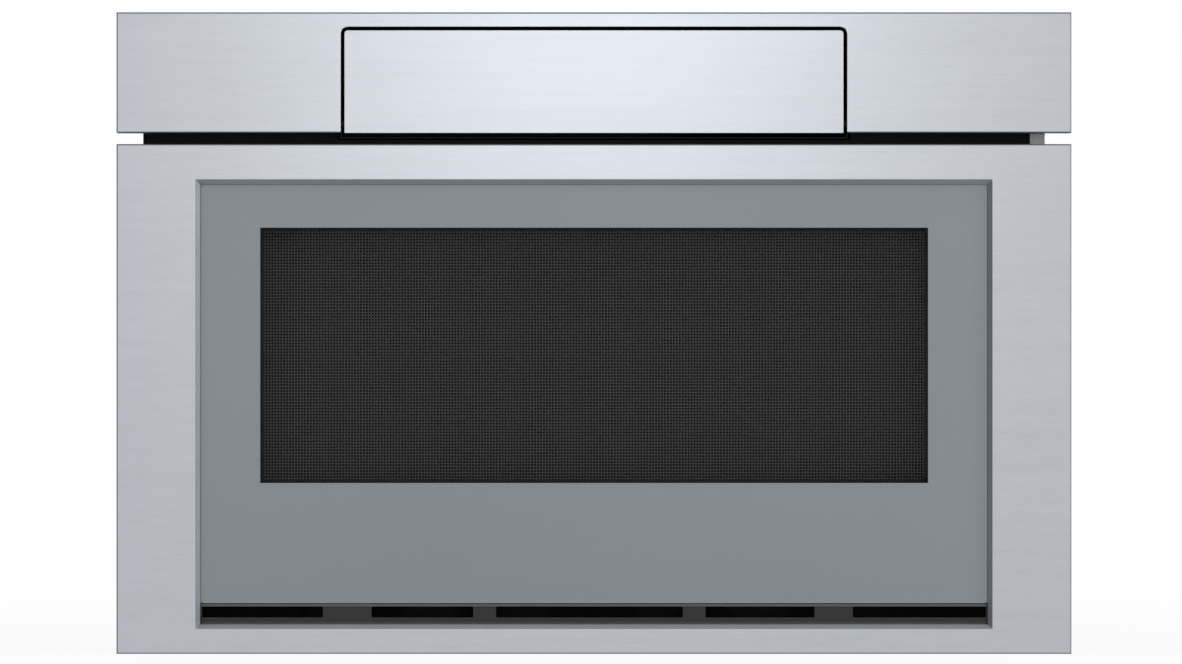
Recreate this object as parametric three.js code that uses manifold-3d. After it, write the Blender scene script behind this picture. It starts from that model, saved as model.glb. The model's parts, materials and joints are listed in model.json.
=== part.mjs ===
// A built-in microwave drawer, 24-inch class: a case with a cavity, a motor-driven drawer on telescopic
// slides, and a stainless fascia with a tilting control hatch.
// Millimetres. +X is to the right of someone facing the drawer, +Y runs back into the cabinet, +Z is up.
// The origin is the middle of the base pan's underside, where the case rests on the cabinet shelf.

import * as THREE from "three";
import { mergeVertices } from "three/addons/utils/BufferGeometryUtils.js";
import Module from "manifold-3d";

const wasm = await Module();
wasm.setup();

// ---------------------------------------------------------------- driving dimensions

const SEAT = 0.3; // gap between two pieces that rest on each other
const SHEET = 1; // steel sheet of the case and the cavity

// the face that shows
const FRONT_OVERHANG = 15.8; // the stainless front past the flange on each side
const FRONT_DEPTH = 36; // from the front frame to the stainless faces
const FRONT_DROP = 15; // the drawer front hangs this far below the shelf
const FRONT_GAP = 7.1; // between drawer front and fascia
const FASCIA_HEIGHT = 76.6;
const FASCIA_ABOVE_FRAME = 7.4;
const SKIN = 1.2; // stainless sheet
const SKIN_EDGE = 0.8; // chamfer of the outer edges

// the recess in the drawer front
const RECESS_SIDE = 50.15; // stainless bar left and right of it
const RECESS_TOP = 22.4;
const RECESS_BOTTOM = 15.7;
const RECESS_BEVEL = 3.2;
const GLASS_THICKNESS = 4;
const WINDOW_INSET = 11.8; // the window's sides inside the cavity's
const WINDOW_ABOVE_FLOOR = 16.7; // the window's lower edge above the cavity's floor
const WINDOW_BELOW_ROOF = 11.1;
const GRILLE_HEIGHT = 16.6; // from the recess's lower edge to the glass
const SLOT_HEIGHT = 7;
const SLOT_BELOW_GLASS = 2.3;
const SLOT_CORNER = 0.6;
const GRILLE_SETBACK = 2.5; // the grille's face behind the glass's
const GRILLE_TUCK = 2; // the grille runs this far down behind the bevel's lip
const GRILLE_WALL = 2;
const SLOT_SPANS = [[-249, -172.2], [-141.3, -76.7], [-62.2, 56.5], [70.9, 140.1], [164.5, 249]];

// the control hatch in the fascia
const HATCH_OPENING_WIDTH = 321.5;
const HATCH_OPENING_BELOW_TOP = 9.2;
const HATCH_GAP = 2.35;
const HATCH_HINGE_INSET = 6; // hinge axis behind the front face and above the lower edge
const HINGE_PIN_RADIUS = 2.5;
const WELL_WALL = 1.2;

// the case
const ROOF_BAY = 103; // room above it for the stirrer, the waveguide and the boards
const CASE_FLANGE = 12; // folded edges that the covers screw to
const WELL_CLEARANCE = 3.7; // between the hatch's well and the top cover
const FRAME_COVER = 9.4; // the flange past the case on each side
const FRAME_ABOVE_CASE = 15;
const FRAME_BELOW_SHELF = 9;
const FRAME_SHEET = 1.5;
const FRAME_JOGGLE = 0.5; // the outer band that meets the cabinet stands this far behind the rest
const FRAME_LIP = 2; // folded edge of the flange, towards the front
const END_BRACKET_WIDTH = 9.5;
const END_BRACKET_DEPTH = 14; // from the flange to the end of its tongue
const END_BRACKET_RISE = 10; // its tongue above the fascia's lower edge

// the cavity
const CAVITY_WIDTH = 448;
const CAVITY_DEPTH = 431;
const CAVITY_HEIGHT = 190;
const CAVITY_FLOOR = 77; // height of its floor above the shelf
const MACHINE_BAY = 152.2; // room behind the cavity for the magnetron, the transformer and the fan
const DOME_RADIUS = 85;
const DOME_HEIGHT = 22;
const DOME_BEHIND_MOUTH = 230.7;
const WAVEGUIDE_WIDTH = 88;
const WAVEGUIDE_HEIGHT = 36;
const MAGNETRON_GAP = 14.7; // between the cavity's back and the magnetron
const YOKE_HEIGHT = 62;
const YOKE_WIDTH = 94;
const YOKE_DEPTH = 78;
const ANODE_RADIUS = 20;
const LAMP_BEFORE_BACK = 80.3; // oven lamp ahead of the cavity's back wall
const LAMP_BELOW_ROOF = 32;

// power supply and cooling
const CORE_WIDTH = 96;
const CORE_DEPTH = 60;
const CORE_HEIGHT = 80;
const CORE_LIMB = 32; // middle limb, inside the windings
const CORE_YOKE = 14; // outer limbs
const WINDING_DEPTH = 94;
const TRANSFORMER_FROM_SIDE = 158;
const TRANSFORMER_FROM_REAR = 77.5;
const CAPACITOR_WIDTH = 32;
const CAPACITOR_DEPTH = 54;
const CAPACITOR_HEIGHT = 88;
const CAPACITOR_FROM_SIDE = 53;
const CAPACITOR_FROM_REAR = 62.5;
const FAN_FROM_SIDE = 103;
const FAN_BELOW_TOP = 175;
const FAN_RADIUS = 52;
const FAN_DEPTH = 30;
const BLADE_BEFORE_REAR = 14;
const GLAND_FROM_SIDE = 53;
const GLAND_BELOW_TOP = 50;
const GLAND_RADIUS = 11;
const CONTROL_BOARD_WIDTH = 130;
const CONTROL_BOARD_LENGTH = 280;
const FILTER_BOARD_WIDTH = 92;
const FILTER_BOARD_LENGTH = 82;

// the drawer
const TRAVEL = 380; // from shut to fully out
const TUB_GAP = 4; // between tub and cavity walls
const TUB_WALL = 2;
const TUB_CORNER = 12; // rounding of the two rear corners
const TUB_REAR_GAP = 40.2; // between tub and the cavity's back wall
const CERAMIC_THICKNESS = 4;
const CHOKE_WIDTH = 18; // quarter-wave groove round the cavity mouth
const CHOKE_DEPTH = 13;
const CHOKE_STEP = 2; // from the cavity's mouth to the groove
const DOOR_SHEET = 1.2;
const DOOR_AIR = 3; // between door and front frame
const PANE_THICKNESS = 3;
const SCREEN_SHEET = 0.8;
const SCREEN_BORDER = 7; // plain edge of the screen outside the window

// the slides and the drive
const RAIL_LENGTH = 480;
const RAIL_HEIGHT = 46;
const RAIL_THICKNESS = 12.7;
const RAIL_SHEET = 1.2;
const BALL = 2.6; // ball diameter between two members
const ARM_SHEET = 2;
const ARM_BELOW_RAIL = 8; // the arm's foot under the slide
const ARM_TAB = 15; // tab that fastens the arm to the door frame
const ARM_TO_CHOKE = 3.5; // between that tab and the door's choke walls
const ARM_LENGTH = 470;
const GEAR_MODULE = 2;
const PINION_TEETH = 14;
const PINION_WIDTH = 12;
const PINION_SHAFT_RADIUS = 4;
const PINION_CLEARANCE = 1.5; // between the pinion's teeth and its bracket's foot
const BRACKET_SHEET = 2;
const PINION_BEHIND_FRAME = 36;
const RACK_OVERRUN = 12; // rack left behind the pinion when the drawer is out
const RACK_BACK = 5; // solid back of the rack above its teeth

// ---------------------------------------------------------------- places that follow from them

const DOOR_ROOM = CHOKE_STEP + CHOKE_WIDTH + DOOR_SHEET + ARM_TO_CHOKE + ARM_TAB; // beside the cavity
const CASE_WIDTH = CAVITY_WIDTH + 2 * (DOOR_ROOM + SEAT + RAIL_THICKNESS + SEAT + SHEET);
const CASE_DEPTH = FRAME_SHEET + SEAT + CAVITY_DEPTH + MACHINE_BAY;
const CASE_HEIGHT = CAVITY_FLOOR + CAVITY_HEIGHT + ROOF_BAY;
const FRAME_WIDTH = CASE_WIDTH + 2 * FRAME_COVER;
const FRONT_WIDTH = FRAME_WIDTH + 2 * FRONT_OVERHANG;
const FRAME_FRONT = -CASE_DEPTH / 2;
const FRAME_BACK = FRAME_FRONT + FRAME_SHEET;
const FACE = FRAME_FRONT - FRONT_DEPTH;
const DOOR_BACK = FRAME_FRONT - DOOR_AIR;
const REAR = CASE_DEPTH / 2;

const FRAME = [-FRAME_BELOW_SHELF, CASE_HEIGHT + FRAME_ABOVE_CASE];
const FASCIA_TOP = FRAME[1] + FASCIA_ABOVE_FRAME;
const FASCIA = [FASCIA_TOP - FASCIA_HEIGHT, FASCIA_TOP];
const DRAWER_FRONT = [-FRONT_DROP, FASCIA[0] - FRONT_GAP];
const RECESS_X = FRONT_WIDTH / 2 - RECESS_SIDE;
const RECESS = [DRAWER_FRONT[0] + RECESS_BOTTOM, DRAWER_FRONT[1] - RECESS_TOP];
const GLASS_X = RECESS_X - RECESS_BEVEL - SEAT;
const GLASS = [RECESS[0] + GRILLE_HEIGHT, RECESS[1] - RECESS_BEVEL - SEAT];
const GLASS_FRONT = FACE + RECESS_BEVEL;
const GLASS_BACK = GLASS_FRONT + GLASS_THICKNESS;
const SLOT = [GLASS[0] - SLOT_BELOW_GLASS - SLOT_HEIGHT, GLASS[0] - SLOT_BELOW_GLASS];

const CASE_X = CASE_WIDTH / 2;
const CASE_INNER_X = CASE_X - SHEET;
const CAVITY_X = CAVITY_WIDTH / 2;
const CAVITY_FRONT = FRAME_BACK + SEAT;
const CAVITY_REAR = CAVITY_FRONT + CAVITY_DEPTH;
const CAVITY_ROOF = CAVITY_FLOOR + CAVITY_HEIGHT;
const WINDOW_X = CAVITY_X - WINDOW_INSET;
const WINDOW = [CAVITY_FLOOR + WINDOW_ABOVE_FLOOR, CAVITY_ROOF - WINDOW_BELOW_ROOF];
const DOME_TOP = CAVITY_ROOF + DOME_HEIGHT;
const DOME_Y = CAVITY_FRONT + DOME_BEHIND_MOUTH;
const MAGNETRON_Y = CAVITY_REAR + SHEET + MAGNETRON_GAP + YOKE_DEPTH / 2;
const LAMP_Y = CAVITY_REAR - LAMP_BEFORE_BACK;
const LAMP_Z = CAVITY_ROOF - LAMP_BELOW_ROOF;
const GUIDE_FLOOR = DOME_TOP + SHEET + SEAT;
const GUIDE_TOP = GUIDE_FLOOR + WAVEGUIDE_HEIGHT;
const FEED_X = WAVEGUIDE_WIDTH / 2 - 4; // half width of the hole from the guide into the dome
const FEED_SPAN = [DOME_Y + 36, DOME_Y + 74];

// the drive stands on the base pan, and what it carries stands on it: pinion, rack, arm, slide
const PAN_FLOOR = SHEET + SEAT;
const RACK_PITCH = Math.PI * GEAR_MODULE;
const PRESSURE_ANGLE = THREE.MathUtils.degToRad(20);
const ADDENDUM = 0.8 * GEAR_MODULE; // short teeth, so that the small pinion isn't undercut
const DEDENDUM = 1.15 * GEAR_MODULE;
const BACKLASH = 0.35;
const PINION_RADIUS = (GEAR_MODULE * PINION_TEETH) / 2;
const PINION_Z = PAN_FLOOR + BRACKET_SHEET + PINION_CLEARANCE + ADDENDUM + PINION_RADIUS;
const PINION_Y = FRAME_BACK + PINION_BEHIND_FRAME;
const PITCH_LINE_Z = PINION_Z + PINION_RADIUS;
const ARM_FLOOR = PITCH_LINE_Z + DEDENDUM + RACK_BACK + SEAT;
const RAIL_FLOOR = ARM_FLOOR + ARM_BELOW_RAIL;
const RAIL_MIDDLE_Z = RAIL_FLOOR + RAIL_HEIGHT / 2;
const RAIL_FRONT = FRAME_BACK + 6;
const RAIL_X = CASE_INNER_X - SEAT; // outer face of the outer member
const ARM_X = RAIL_X - RAIL_THICKNESS - SEAT; // outer face of the side arm
const RACK_X = [ARM_X - ARM_SHEET - PINION_WIDTH - 3, ARM_X - ARM_SHEET - 3];

const DOOR_PAN_BACK = DOOR_BACK - CHOKE_DEPTH;
const DOOR_PAN_FRONT = DOOR_PAN_BACK - DOOR_SHEET;
const CHOKE_INNER_X = CAVITY_X + CHOKE_STEP;
const CHOKE_OUTER_X = CHOKE_INNER_X + CHOKE_WIDTH;
const TUB_X = CAVITY_X - TUB_GAP;
const TUB_FLOOR = CAVITY_FLOOR + TUB_GAP;
const TUB_RIM = CAVITY_ROOF - TUB_GAP - 4;
const TUB_FRONT = DOOR_PAN_BACK + PANE_THICKNESS + 2 * SEAT;
const TUB_REAR = CAVITY_REAR - TUB_REAR_GAP;

const HINGE_Y = FACE + HATCH_HINGE_INSET;
const HINGE_Z = FASCIA[0] + HATCH_HINGE_INSET;
const HATCH_OPENING_X = HATCH_OPENING_WIDTH / 2;
const HATCH_OPENING_TOP = FASCIA[1] - HATCH_OPENING_BELOW_TOP;
const HATCH_X = HATCH_OPENING_X - HATCH_GAP;
const HATCH_REACH = HATCH_OPENING_TOP - HATCH_GAP - HINGE_Z; // from the hinge axis to the hatch's upper edge
const WELL_RADIUS = HATCH_OPENING_TOP - HINGE_Z;
// how far back the hatch's well reaches at a height
const wellBack = (z) => HINGE_Y + Math.sqrt((WELL_RADIUS + WELL_WALL) ** 2 - (z - HINGE_Z) ** 2);

// ---------------------------------------------------------------- finishes

function finish(color, roughness, metalness) {
  return new THREE.MeshStandardMaterial({ color, roughness, metalness });
}
const stainless = finish(0xd9dde3, 0.32, 1);
const blackSteel = finish(0x191a1b, 0.5, 0.6);
const zincSteel = finish(0xaeb2b4, 0.42, 1);
const slideSteel = finish(0xb9bec2, 0.3, 1);
const enamel = finish(0x8d9092, 0.45, 0.2);
const aluminium = finish(0xc6c9cb, 0.38, 1);
const coreSteel = finish(0x4a4744, 0.6, 0.7);
const copper = finish(0xa85f38, 0.4, 0.9);
const blackPlastic = finish(0x171718, 0.5, 0);
const greyPlastic = finish(0x56595c, 0.55, 0);
const whitePlastic = finish(0xdedbd2, 0.5, 0);
const mica = finish(0xc9c0a8, 0.6, 0);
const greyGlass = finish(0x898e91, 0.12, 0.1);
const blackGlass = finish(0x0c0d0f, 0.1, 0);
const clearPane = finish(0x2e3032, 0.15, 0);
const ceramic = finish(0xe4e2dc, 0.25, 0);
const boardGreen = finish(0x2f5a3c, 0.6, 0);
const nylon = finish(0xe8e6df, 0.45, 0);

// ---------------------------------------------------------------- forming operations

// A closed geometry as a solid that can be joined and cut. Its points are rounded to a micron, so that faces
// meant to be flush are exactly flush.
function solid(geometry) {
  const bare = geometry.clone();
  bare.deleteAttribute("normal");
  bare.deleteAttribute("uv");
  const points = bare.getAttribute("position").array;
  points.forEach((value, i) => {
    points[i] = Math.round(value * 1000) / 1000;
  });
  const merged = mergeVertices(bare, 1e-4);
  const vertProperties = merged.getAttribute("position").array;
  const triVerts = new Uint32Array(merged.index.array);
  return new wasm.Manifold(new wasm.Mesh({ numProp: 3, vertProperties, triVerts }));
}

function geometryOf(shape) {
  const { vertProperties, triVerts } = shape.getMesh();
  const geometry = new THREE.BufferGeometry();
  geometry.setAttribute("position", new THREE.BufferAttribute(new Float32Array(vertProperties), 3));
  geometry.setIndex(new THREE.BufferAttribute(new Uint32Array(triVerts), 1));
  return geometry;
}

const join = (...shapes) => shapes.reduce((all, next) => all.add(next));
const cut = (body, ...tools) => tools.reduce((rest, tool) => rest.subtract(tool), body);
const both = (x) => [-x, x];
const grow = ([low, high], by) => [low - by, high + by];
const around = (centre, half) => [centre - half, centre + half];

function polygon(points) {
  return new THREE.Shape(points.map(([u, v]) => new THREE.Vector2(u, v)));
}

function circle(u, v, radius, sides = 24) {
  const turn = (i) => (2 * Math.PI * i) / sides;
  return polygon(Array.from({ length: sides }, (_, i) => [
    u + radius * Math.cos(turn(i)),
    v + radius * Math.sin(turn(i)),
  ]));
}

// A rectangle with corner radii in the order lower left, lower right, upper right, upper left.
function rectangle([u0, u1], [v0, v1], radii = 0) {
  const [a, b, c, d] = Array.isArray(radii) ? radii : [radii, radii, radii, radii];
  const shape = new THREE.Shape();
  shape.moveTo(u0 + a, v0);
  shape.lineTo(u1 - b, v0);
  if (b) shape.absarc(u1 - b, v0 + b, b, -Math.PI / 2, 0);
  shape.lineTo(u1, v1 - c);
  if (c) shape.absarc(u1 - c, v1 - c, c, 0, Math.PI / 2);
  shape.lineTo(u0 + d, v1);
  if (d) shape.absarc(u0 + d, v1 - d, d, Math.PI / 2, Math.PI);
  shape.lineTo(u0, v0 + a);
  if (a) shape.absarc(u0 + a, v0 + a, a, Math.PI, 1.5 * Math.PI);
  return shape;
}

// Profile planes: along X a profile is drawn in (y, z), along Y in (x, z) and along Z in (x, y).
const PLANES = {
  X: [new THREE.Vector3(0, 1, 0), new THREE.Vector3(0, 0, 1), new THREE.Vector3(1, 0, 0)],
  Y: [new THREE.Vector3(1, 0, 0), new THREE.Vector3(0, 0, 1), new THREE.Vector3(0, -1, 0)],
  Z: [new THREE.Vector3(1, 0, 0), new THREE.Vector3(0, 1, 0), new THREE.Vector3(0, 0, 1)],
};

// A profile extruded along an axis between two stations, with its end edges rounded by `edge`.
function extrude(axis, shape, [from, to], { edge = 0, curveSegments = 1, edgeSegments = 1 } = {}) {
  const geometry = new THREE.ExtrudeGeometry(shape, {
    depth: to - from - 2 * edge,
    curveSegments,
    bevelEnabled: edge > 0,
    bevelThickness: edge,
    bevelSize: edge,
    bevelOffset: -edge,
    bevelSegments: edgeSegments,
  });
  geometry.translate(0, 0, edge);
  const start = axis === "Y" ? -to : from;
  geometry.translate(0, 0, start);
  geometry.applyMatrix4(new THREE.Matrix4().makeBasis(...PLANES[axis]));
  return solid(geometry);
}

const block = (x, y, z) => extrude("Y", rectangle(x, z), y);
const rod = (axis, u, v, radius, span, sides = 12) => extrude(axis, circle(u, v, radius, sides), span);

// A folded sheet tray: floor at z[0], walls up to z[1] on the four sides.
function tray(x, y, z, sheet, radius = 0) {
  const outer = extrude("Z", rectangle(x, y, radius), z);
  const hollow = rectangle(grow(x, -sheet), grow(y, -sheet), Math.max(radius - sheet, 0));
  return cut(outer, extrude("Z", hollow, [z[0] + sheet, z[1] + sheet]));
}

// A flat ring in the x-z plane between two rectangles.
function ringY(outer, inner, y, radius = 0) {
  const hole = extrude("Y", rectangle(inner[0], inner[1], radius), grow(y, 1));
  return cut(extrude("Y", rectangle(outer[0], outer[1], radius), y), hole);
}

// ---------------------------------------------------------------- the case

function basePan() {
  const pan = tray(both(CASE_INNER_X - SEAT), [CAVITY_FRONT, REAR - SHEET - SEAT], [0, CASE_FLANGE], SHEET);
  const ribLength = [CAVITY_FRONT + 170, CAVITY_REAR + 8];
  const ribs = [-190, -110, 110, 190].map((x) =>
    extrude("Z", rectangle(around(x, 9), ribLength, 8), [SHEET / 2, SHEET + 3]));
  const ventLength = [CAVITY_FRONT + 28, CAVITY_FRONT + 68];
  const vents = [-1, 1].flatMap((side) => [0, 1, 2, 3, 4, 5].map((i) => {
    const x = side * (70 + i * 14);
    return extrude("Z", rectangle(around(x, 3.5), ventLength, 3), [-1, SHEET + 1]);
  }));
  return cut(join(pan, ...ribs), ...vents);
}

// The right side panel; the left one is its mirror image.
function sidePanel() {
  const top = CASE_HEIGHT - SHEET - SEAT;
  const wall = block([CASE_INNER_X, CASE_X], [CAVITY_FRONT, REAR - SHEET - SEAT], [0, top]);
  const inner = [CASE_X - CASE_FLANGE, CASE_X];
  const upper = block(inner, [CAVITY_FRONT, REAR - SHEET - SEAT], [top - SHEET, top]);
  const lowEnd = CASE_FLANGE + SEAT;
  const upright = [inner[0] + 1, CASE_X - SHEET / 2];
  const rear = block(upright, [REAR - 2 * SHEET - SEAT, REAR - SHEET - SEAT], [lowEnd, top - SHEET / 2]);
  const aboveRail = RAIL_FLOOR + RAIL_HEIGHT + 20;
  const front = block(upright, [CAVITY_FRONT, CAVITY_FRONT + SHEET], [aboveRail, top - SHEET / 2]);
  const slotLength = [REAR - 142, REAR - 62];
  const slots = [0, 1, 2, 3, 4, 5, 6, 7].map((i) => {
    const z = CASE_HEIGHT - 58 - 16 * i;
    return extrude("X", rectangle(slotLength, around(z, 3), 2.9), grow([CASE_INNER_X, CASE_X], 1));
  });
  return cut(join(wall, upper, rear, front), ...slots);
}

function topCover() {
  const plate = block(both(CASE_X), [CAVITY_FRONT, REAR], [CASE_HEIGHT - SHEET, CASE_HEIGHT]);
  const lipFront = wellBack(CASE_HEIGHT - 8) + WELL_CLEARANCE;
  const lip = block(both(CASE_INNER_X - CASE_FLANGE), [lipFront, lipFront + SHEET],
    [CASE_HEIGHT - 8, CASE_HEIGHT - SHEET / 2]);
  const ribs = [-140, 0, 140].map((x) =>
    extrude("Z", rectangle(around(x, 12), [CAVITY_FRONT + 90, REAR - 62], 10),
      [CASE_HEIGHT - SHEET - 2.5, CASE_HEIGHT - SHEET / 2]));
  const wellNotch = block(both(HATCH_OPENING_X + 8),
    [CAVITY_FRONT - 1, wellBack(CASE_HEIGHT - SHEET) + WELL_CLEARANCE], [CASE_HEIGHT - 9, CASE_HEIGHT + 1]);
  return cut(join(plate, lip, ...ribs), wellNotch);
}

const FAN_X = CASE_X - FAN_FROM_SIDE;
const FAN_Z = CASE_HEIGHT - FAN_BELOW_TOP;
const GLAND_X = GLAND_FROM_SIDE - CASE_X;
const GLAND_Z = CASE_HEIGHT - GLAND_BELOW_TOP;

function rearCover() {
  const outline = rectangle(both(CASE_X), [0, CASE_HEIGHT - SHEET - SEAT], 2);
  const plate = extrude("Y", outline, [REAR - SHEET, REAR]);
  const through = [REAR - SHEET - 1, REAR + 1];
  const hub = extrude("Y", circle(FAN_X, FAN_Z, 14, 16), through);
  const grille = [0, 1, 2, 3, 4, 5, 6].map((i) => {
    const z = FAN_Z + (i - 3) * 14;
    const half = Math.sqrt(FAN_RADIUS ** 2 - (z - FAN_Z) ** 2);
    return extrude("Y", rectangle(around(FAN_X, half), around(z, 4), 3.9), through);
  });
  const exhaust = [0, 1, 2, 3, 4, 5, 6, 7].map((i) => {
    const z = 60 + i * 14;
    return extrude("Y", rectangle([68 - CASE_X, 188 - CASE_X], around(z, 3), 2.9), through);
  });
  const gland = rod("Y", GLAND_X, GLAND_Z, GLAND_RADIUS + SEAT, through, 14);
  return cut(plate, cut(join(...grille), hub), ...exhaust, gland);
}

// The black flange that lies on the cabinet's face, with the mouth of the cavity, the two openings for
// the slides and the cut-out for the control hatch.
function frontFrame() {
  const plate = extrude("Y", rectangle(both(FRAME_WIDTH / 2), FRAME, 3), [FRAME_FRONT, FRAME_BACK]);
  const lipInside = [both(FRAME_WIDTH / 2 - FRAME_SHEET), grow(FRAME, -FRAME_SHEET)];
  const lipY = [FRAME_FRONT - FRAME_LIP, FRAME_FRONT + SHEET / 2];
  const lip = ringY([both(FRAME_WIDTH / 2), FRAME], lipInside, lipY);
  const band = ringY([both(FRAME_WIDTH / 2), [-1, FRAME[1]]], [both(CASE_X + 1.5), [-2, CASE_HEIGHT + 8.5]],
    [FRAME_BACK - SHEET / 2, FRAME_BACK + FRAME_JOGGLE]); // open below, where the shelf's edge lies
  const through = grow([FRAME_FRONT, FRAME_BACK], 4);
  const mouth = extrude("Y", rectangle(both(CAVITY_X), [CAVITY_FLOOR, CAVITY_ROOF], 3), through);
  const railX = [ARM_X - ARM_SHEET - PINION_WIDTH - 5, RAIL_X - RAIL_SHEET];
  const railZ = [PITCH_LINE_Z - 4, RAIL_FLOOR + RAIL_HEIGHT + 6];
  const rightRail = extrude("Y", rectangle(railX, railZ, 3), through);
  const leftRail = extrude("Y", rectangle([-railX[1], -railX[0]], railZ, 3), through);
  const wellRise = Math.sqrt((WELL_RADIUS + WELL_WALL) ** 2 - (FRAME_FRONT - HINGE_Y) ** 2);
  const well = extrude("Y", rectangle(both(HATCH_OPENING_X + WELL_WALL + SEAT + 1.5),
    [FASCIA[0] - WELL_WALL - 2.6, HINGE_Z + wellRise + 1.5]), through);
  const intake = [-1, 1].flatMap((side) => [0, 1, 2, 3].map((i) => {
    const x = side * (45 + 42 * i);
    return extrude("Y", rectangle(around(x, 15), [18, 40], 5), through);
  }));
  return cut(join(plate, lip, band), mouth, rightRail, leftRail, well, ...intake);
}

// The bare metal bracket at the right end of the gap, which ties the fascia to the flange.
function gapEndBracket() {
  const x = [FRAME_WIDTH / 2 - END_BRACKET_WIDTH, FRAME_WIDTH / 2];
  const z = [DRAWER_FRONT[1] - 14, FASCIA[0] + END_BRACKET_RISE];
  const back = FRAME_FRONT - FRAME_LIP - SEAT;
  const foot = extrude("Y", rectangle(x, z, 1), [back - 1.5, back]);
  const tongue = block(x, [FRAME_FRONT - END_BRACKET_DEPTH, back - 0.5], [z[1] - 1.5, z[1]]);
  return join(foot, tongue);
}

function cordGland() {
  const flange = rod("Y", GLAND_X, GLAND_Z, GLAND_RADIUS + 4, [REAR + SEAT, REAR + 3], 14);
  const barrel = rod("Y", GLAND_X, GLAND_Z, GLAND_RADIUS, [REAR - 9, REAR + 1], 14);
  const nut = rod("Y", GLAND_X, GLAND_Z, GLAND_RADIUS + 5, [REAR - 8, REAR - SHEET - SEAT], 6);
  const bore = rod("Y", GLAND_X, GLAND_Z, 4.5, [REAR - 10, REAR + 4], 12);
  return cut(join(flange, barrel, nut), bore);
}

// ---------------------------------------------------------------- cavity and microwave feed

function cavityShell() {
  const inner = [both(CAVITY_X), [CAVITY_FRONT - 1, CAVITY_REAR], [CAVITY_FLOOR, CAVITY_ROOF]];
  const outer = [both(CAVITY_X + SHEET), [CAVITY_FRONT, CAVITY_REAR + SHEET], grow(inner[2], SHEET)];
  const shell = cut(block(...outer), block(...inner));
  const weldFlange = ringY([both(CAVITY_X + 8), grow(inner[2], 8)], [inner[0], inner[2]],
    [CAVITY_FRONT, CAVITY_FRONT + SHEET]);
  const dome = rod("Z", 0, DOME_Y, DOME_RADIUS + SHEET, [CAVITY_ROOF + SHEET / 2, DOME_TOP + SHEET], 24);
  const domeInside = rod("Z", 0, DOME_Y, DOME_RADIUS, [CAVITY_ROOF - 2, DOME_TOP], 24);
  const domeRoof = grow([DOME_TOP, DOME_TOP + SHEET], 1);
  const feed = block(both(FEED_X), FEED_SPAN, domeRoof);
  const shaft = rod("Z", 0, DOME_Y, 4, domeRoof, 12);
  const lamp = rod("X", LAMP_Y, LAMP_Z, 9, [-CAVITY_X - 2, -CAVITY_X + 1], 12);
  return cut(join(shell, weldFlange, dome), domeInside, feed, shaft, lamp);
}

function stirrerCover() {
  const z = [CAVITY_ROOF - 2 - SEAT, CAVITY_ROOF - SEAT];
  const disc = rod("Z", 0, DOME_Y, DOME_RADIUS + 8, z, 24);
  const spigot = cut(rod("Z", 0, DOME_Y, DOME_RADIUS - 1, [z[0], CAVITY_ROOF + 3], 24),
    rod("Z", 0, DOME_Y, DOME_RADIUS - 4, [z[1], CAVITY_ROOF + 4], 24));
  return join(disc, spigot);
}

// Drawn about its own axis: a hub with four bent blades.
function stirrerFan() {
  const hub = rod("Z", 0, 0, 8, [-4, 5], 12);
  const shaft = rod("Z", 0, 0, 3, [4, DOME_TOP + SHEET + SEAT - STIRRER_Z + 8], 12);
  const blades = [0, 1, 2, 3].map((i) => {
    const blade = extrude("Y", polygon([[4, -3], [30, -3], [62, 6], [62, 7], [30, -2], [4, -2]]), both(15));
    const geometry = geometryOf(blade);
    geometry.rotateZ((Math.PI / 2) * i);
    return solid(geometry);
  });
  return join(hub, shaft, ...blades);
}

const STIRRER_Z = CAVITY_ROOF + 9;

function stirrerMotor() {
  const base = DOME_TOP + SHEET + SEAT;
  const can = rod("Z", 0, DOME_Y, 24, [base, base + 18], 18);
  const ears = extrude("Z", rectangle(both(31), around(DOME_Y, 8), 7), [base, base + 1.5]);
  const bore = rod("Z", 0, DOME_Y, 3 + SEAT, [base - 1, base + 10], 12);
  return cut(join(can, ears), bore);
}

function waveguide() {
  const x = both(WAVEGUIDE_WIDTH / 2);
  const y = [DOME_Y + 31, MAGNETRON_Y + 40];
  const z = [GUIDE_FLOOR, GUIDE_TOP];
  const duct = cut(block(x, y, z), block(grow(x, -SHEET), grow(y, -SHEET), grow(z, -SHEET)));
  const seam = extrude("Z", rectangle(grow(x, 8), y, 3), [GUIDE_FLOOR, GUIDE_FLOOR + SHEET]);
  const rim = cut(seam, block(grow(x, -SHEET / 2), grow(y, -SHEET / 2), grow(z, 1)));
  const guideFloor = grow([GUIDE_FLOOR, GUIDE_FLOOR + SHEET], 1);
  const feed = block(both(FEED_X), FEED_SPAN, guideFloor);
  const launch = rod("Z", 0, MAGNETRON_Y, 14, guideFloor, 14);
  return cut(join(duct, rim), feed, launch);
}

// The magnetron hangs under the guide's rear end: a pressed yoke round the finned anode, with its filter
// box below.
const YOKE_TOP = GUIDE_FLOOR - SEAT;

function magnetronYoke() {
  const z = [YOKE_TOP - YOKE_HEIGHT, YOKE_TOP];
  const x = both(YOKE_WIDTH / 2);
  const y = around(MAGNETRON_Y, YOKE_DEPTH / 2);
  const loop = cut(block(x, y, z), block(grow(x, -2), grow(y, 1), grow(z, -2)));
  const antenna = rod("Z", 0, MAGNETRON_Y, 9, [YOKE_TOP - 3, YOKE_TOP + 20], 12);
  const anode = rod("Z", 0, MAGNETRON_Y, ANODE_RADIUS, grow(z, -1), 14);
  return join(loop, antenna, anode);
}

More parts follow.
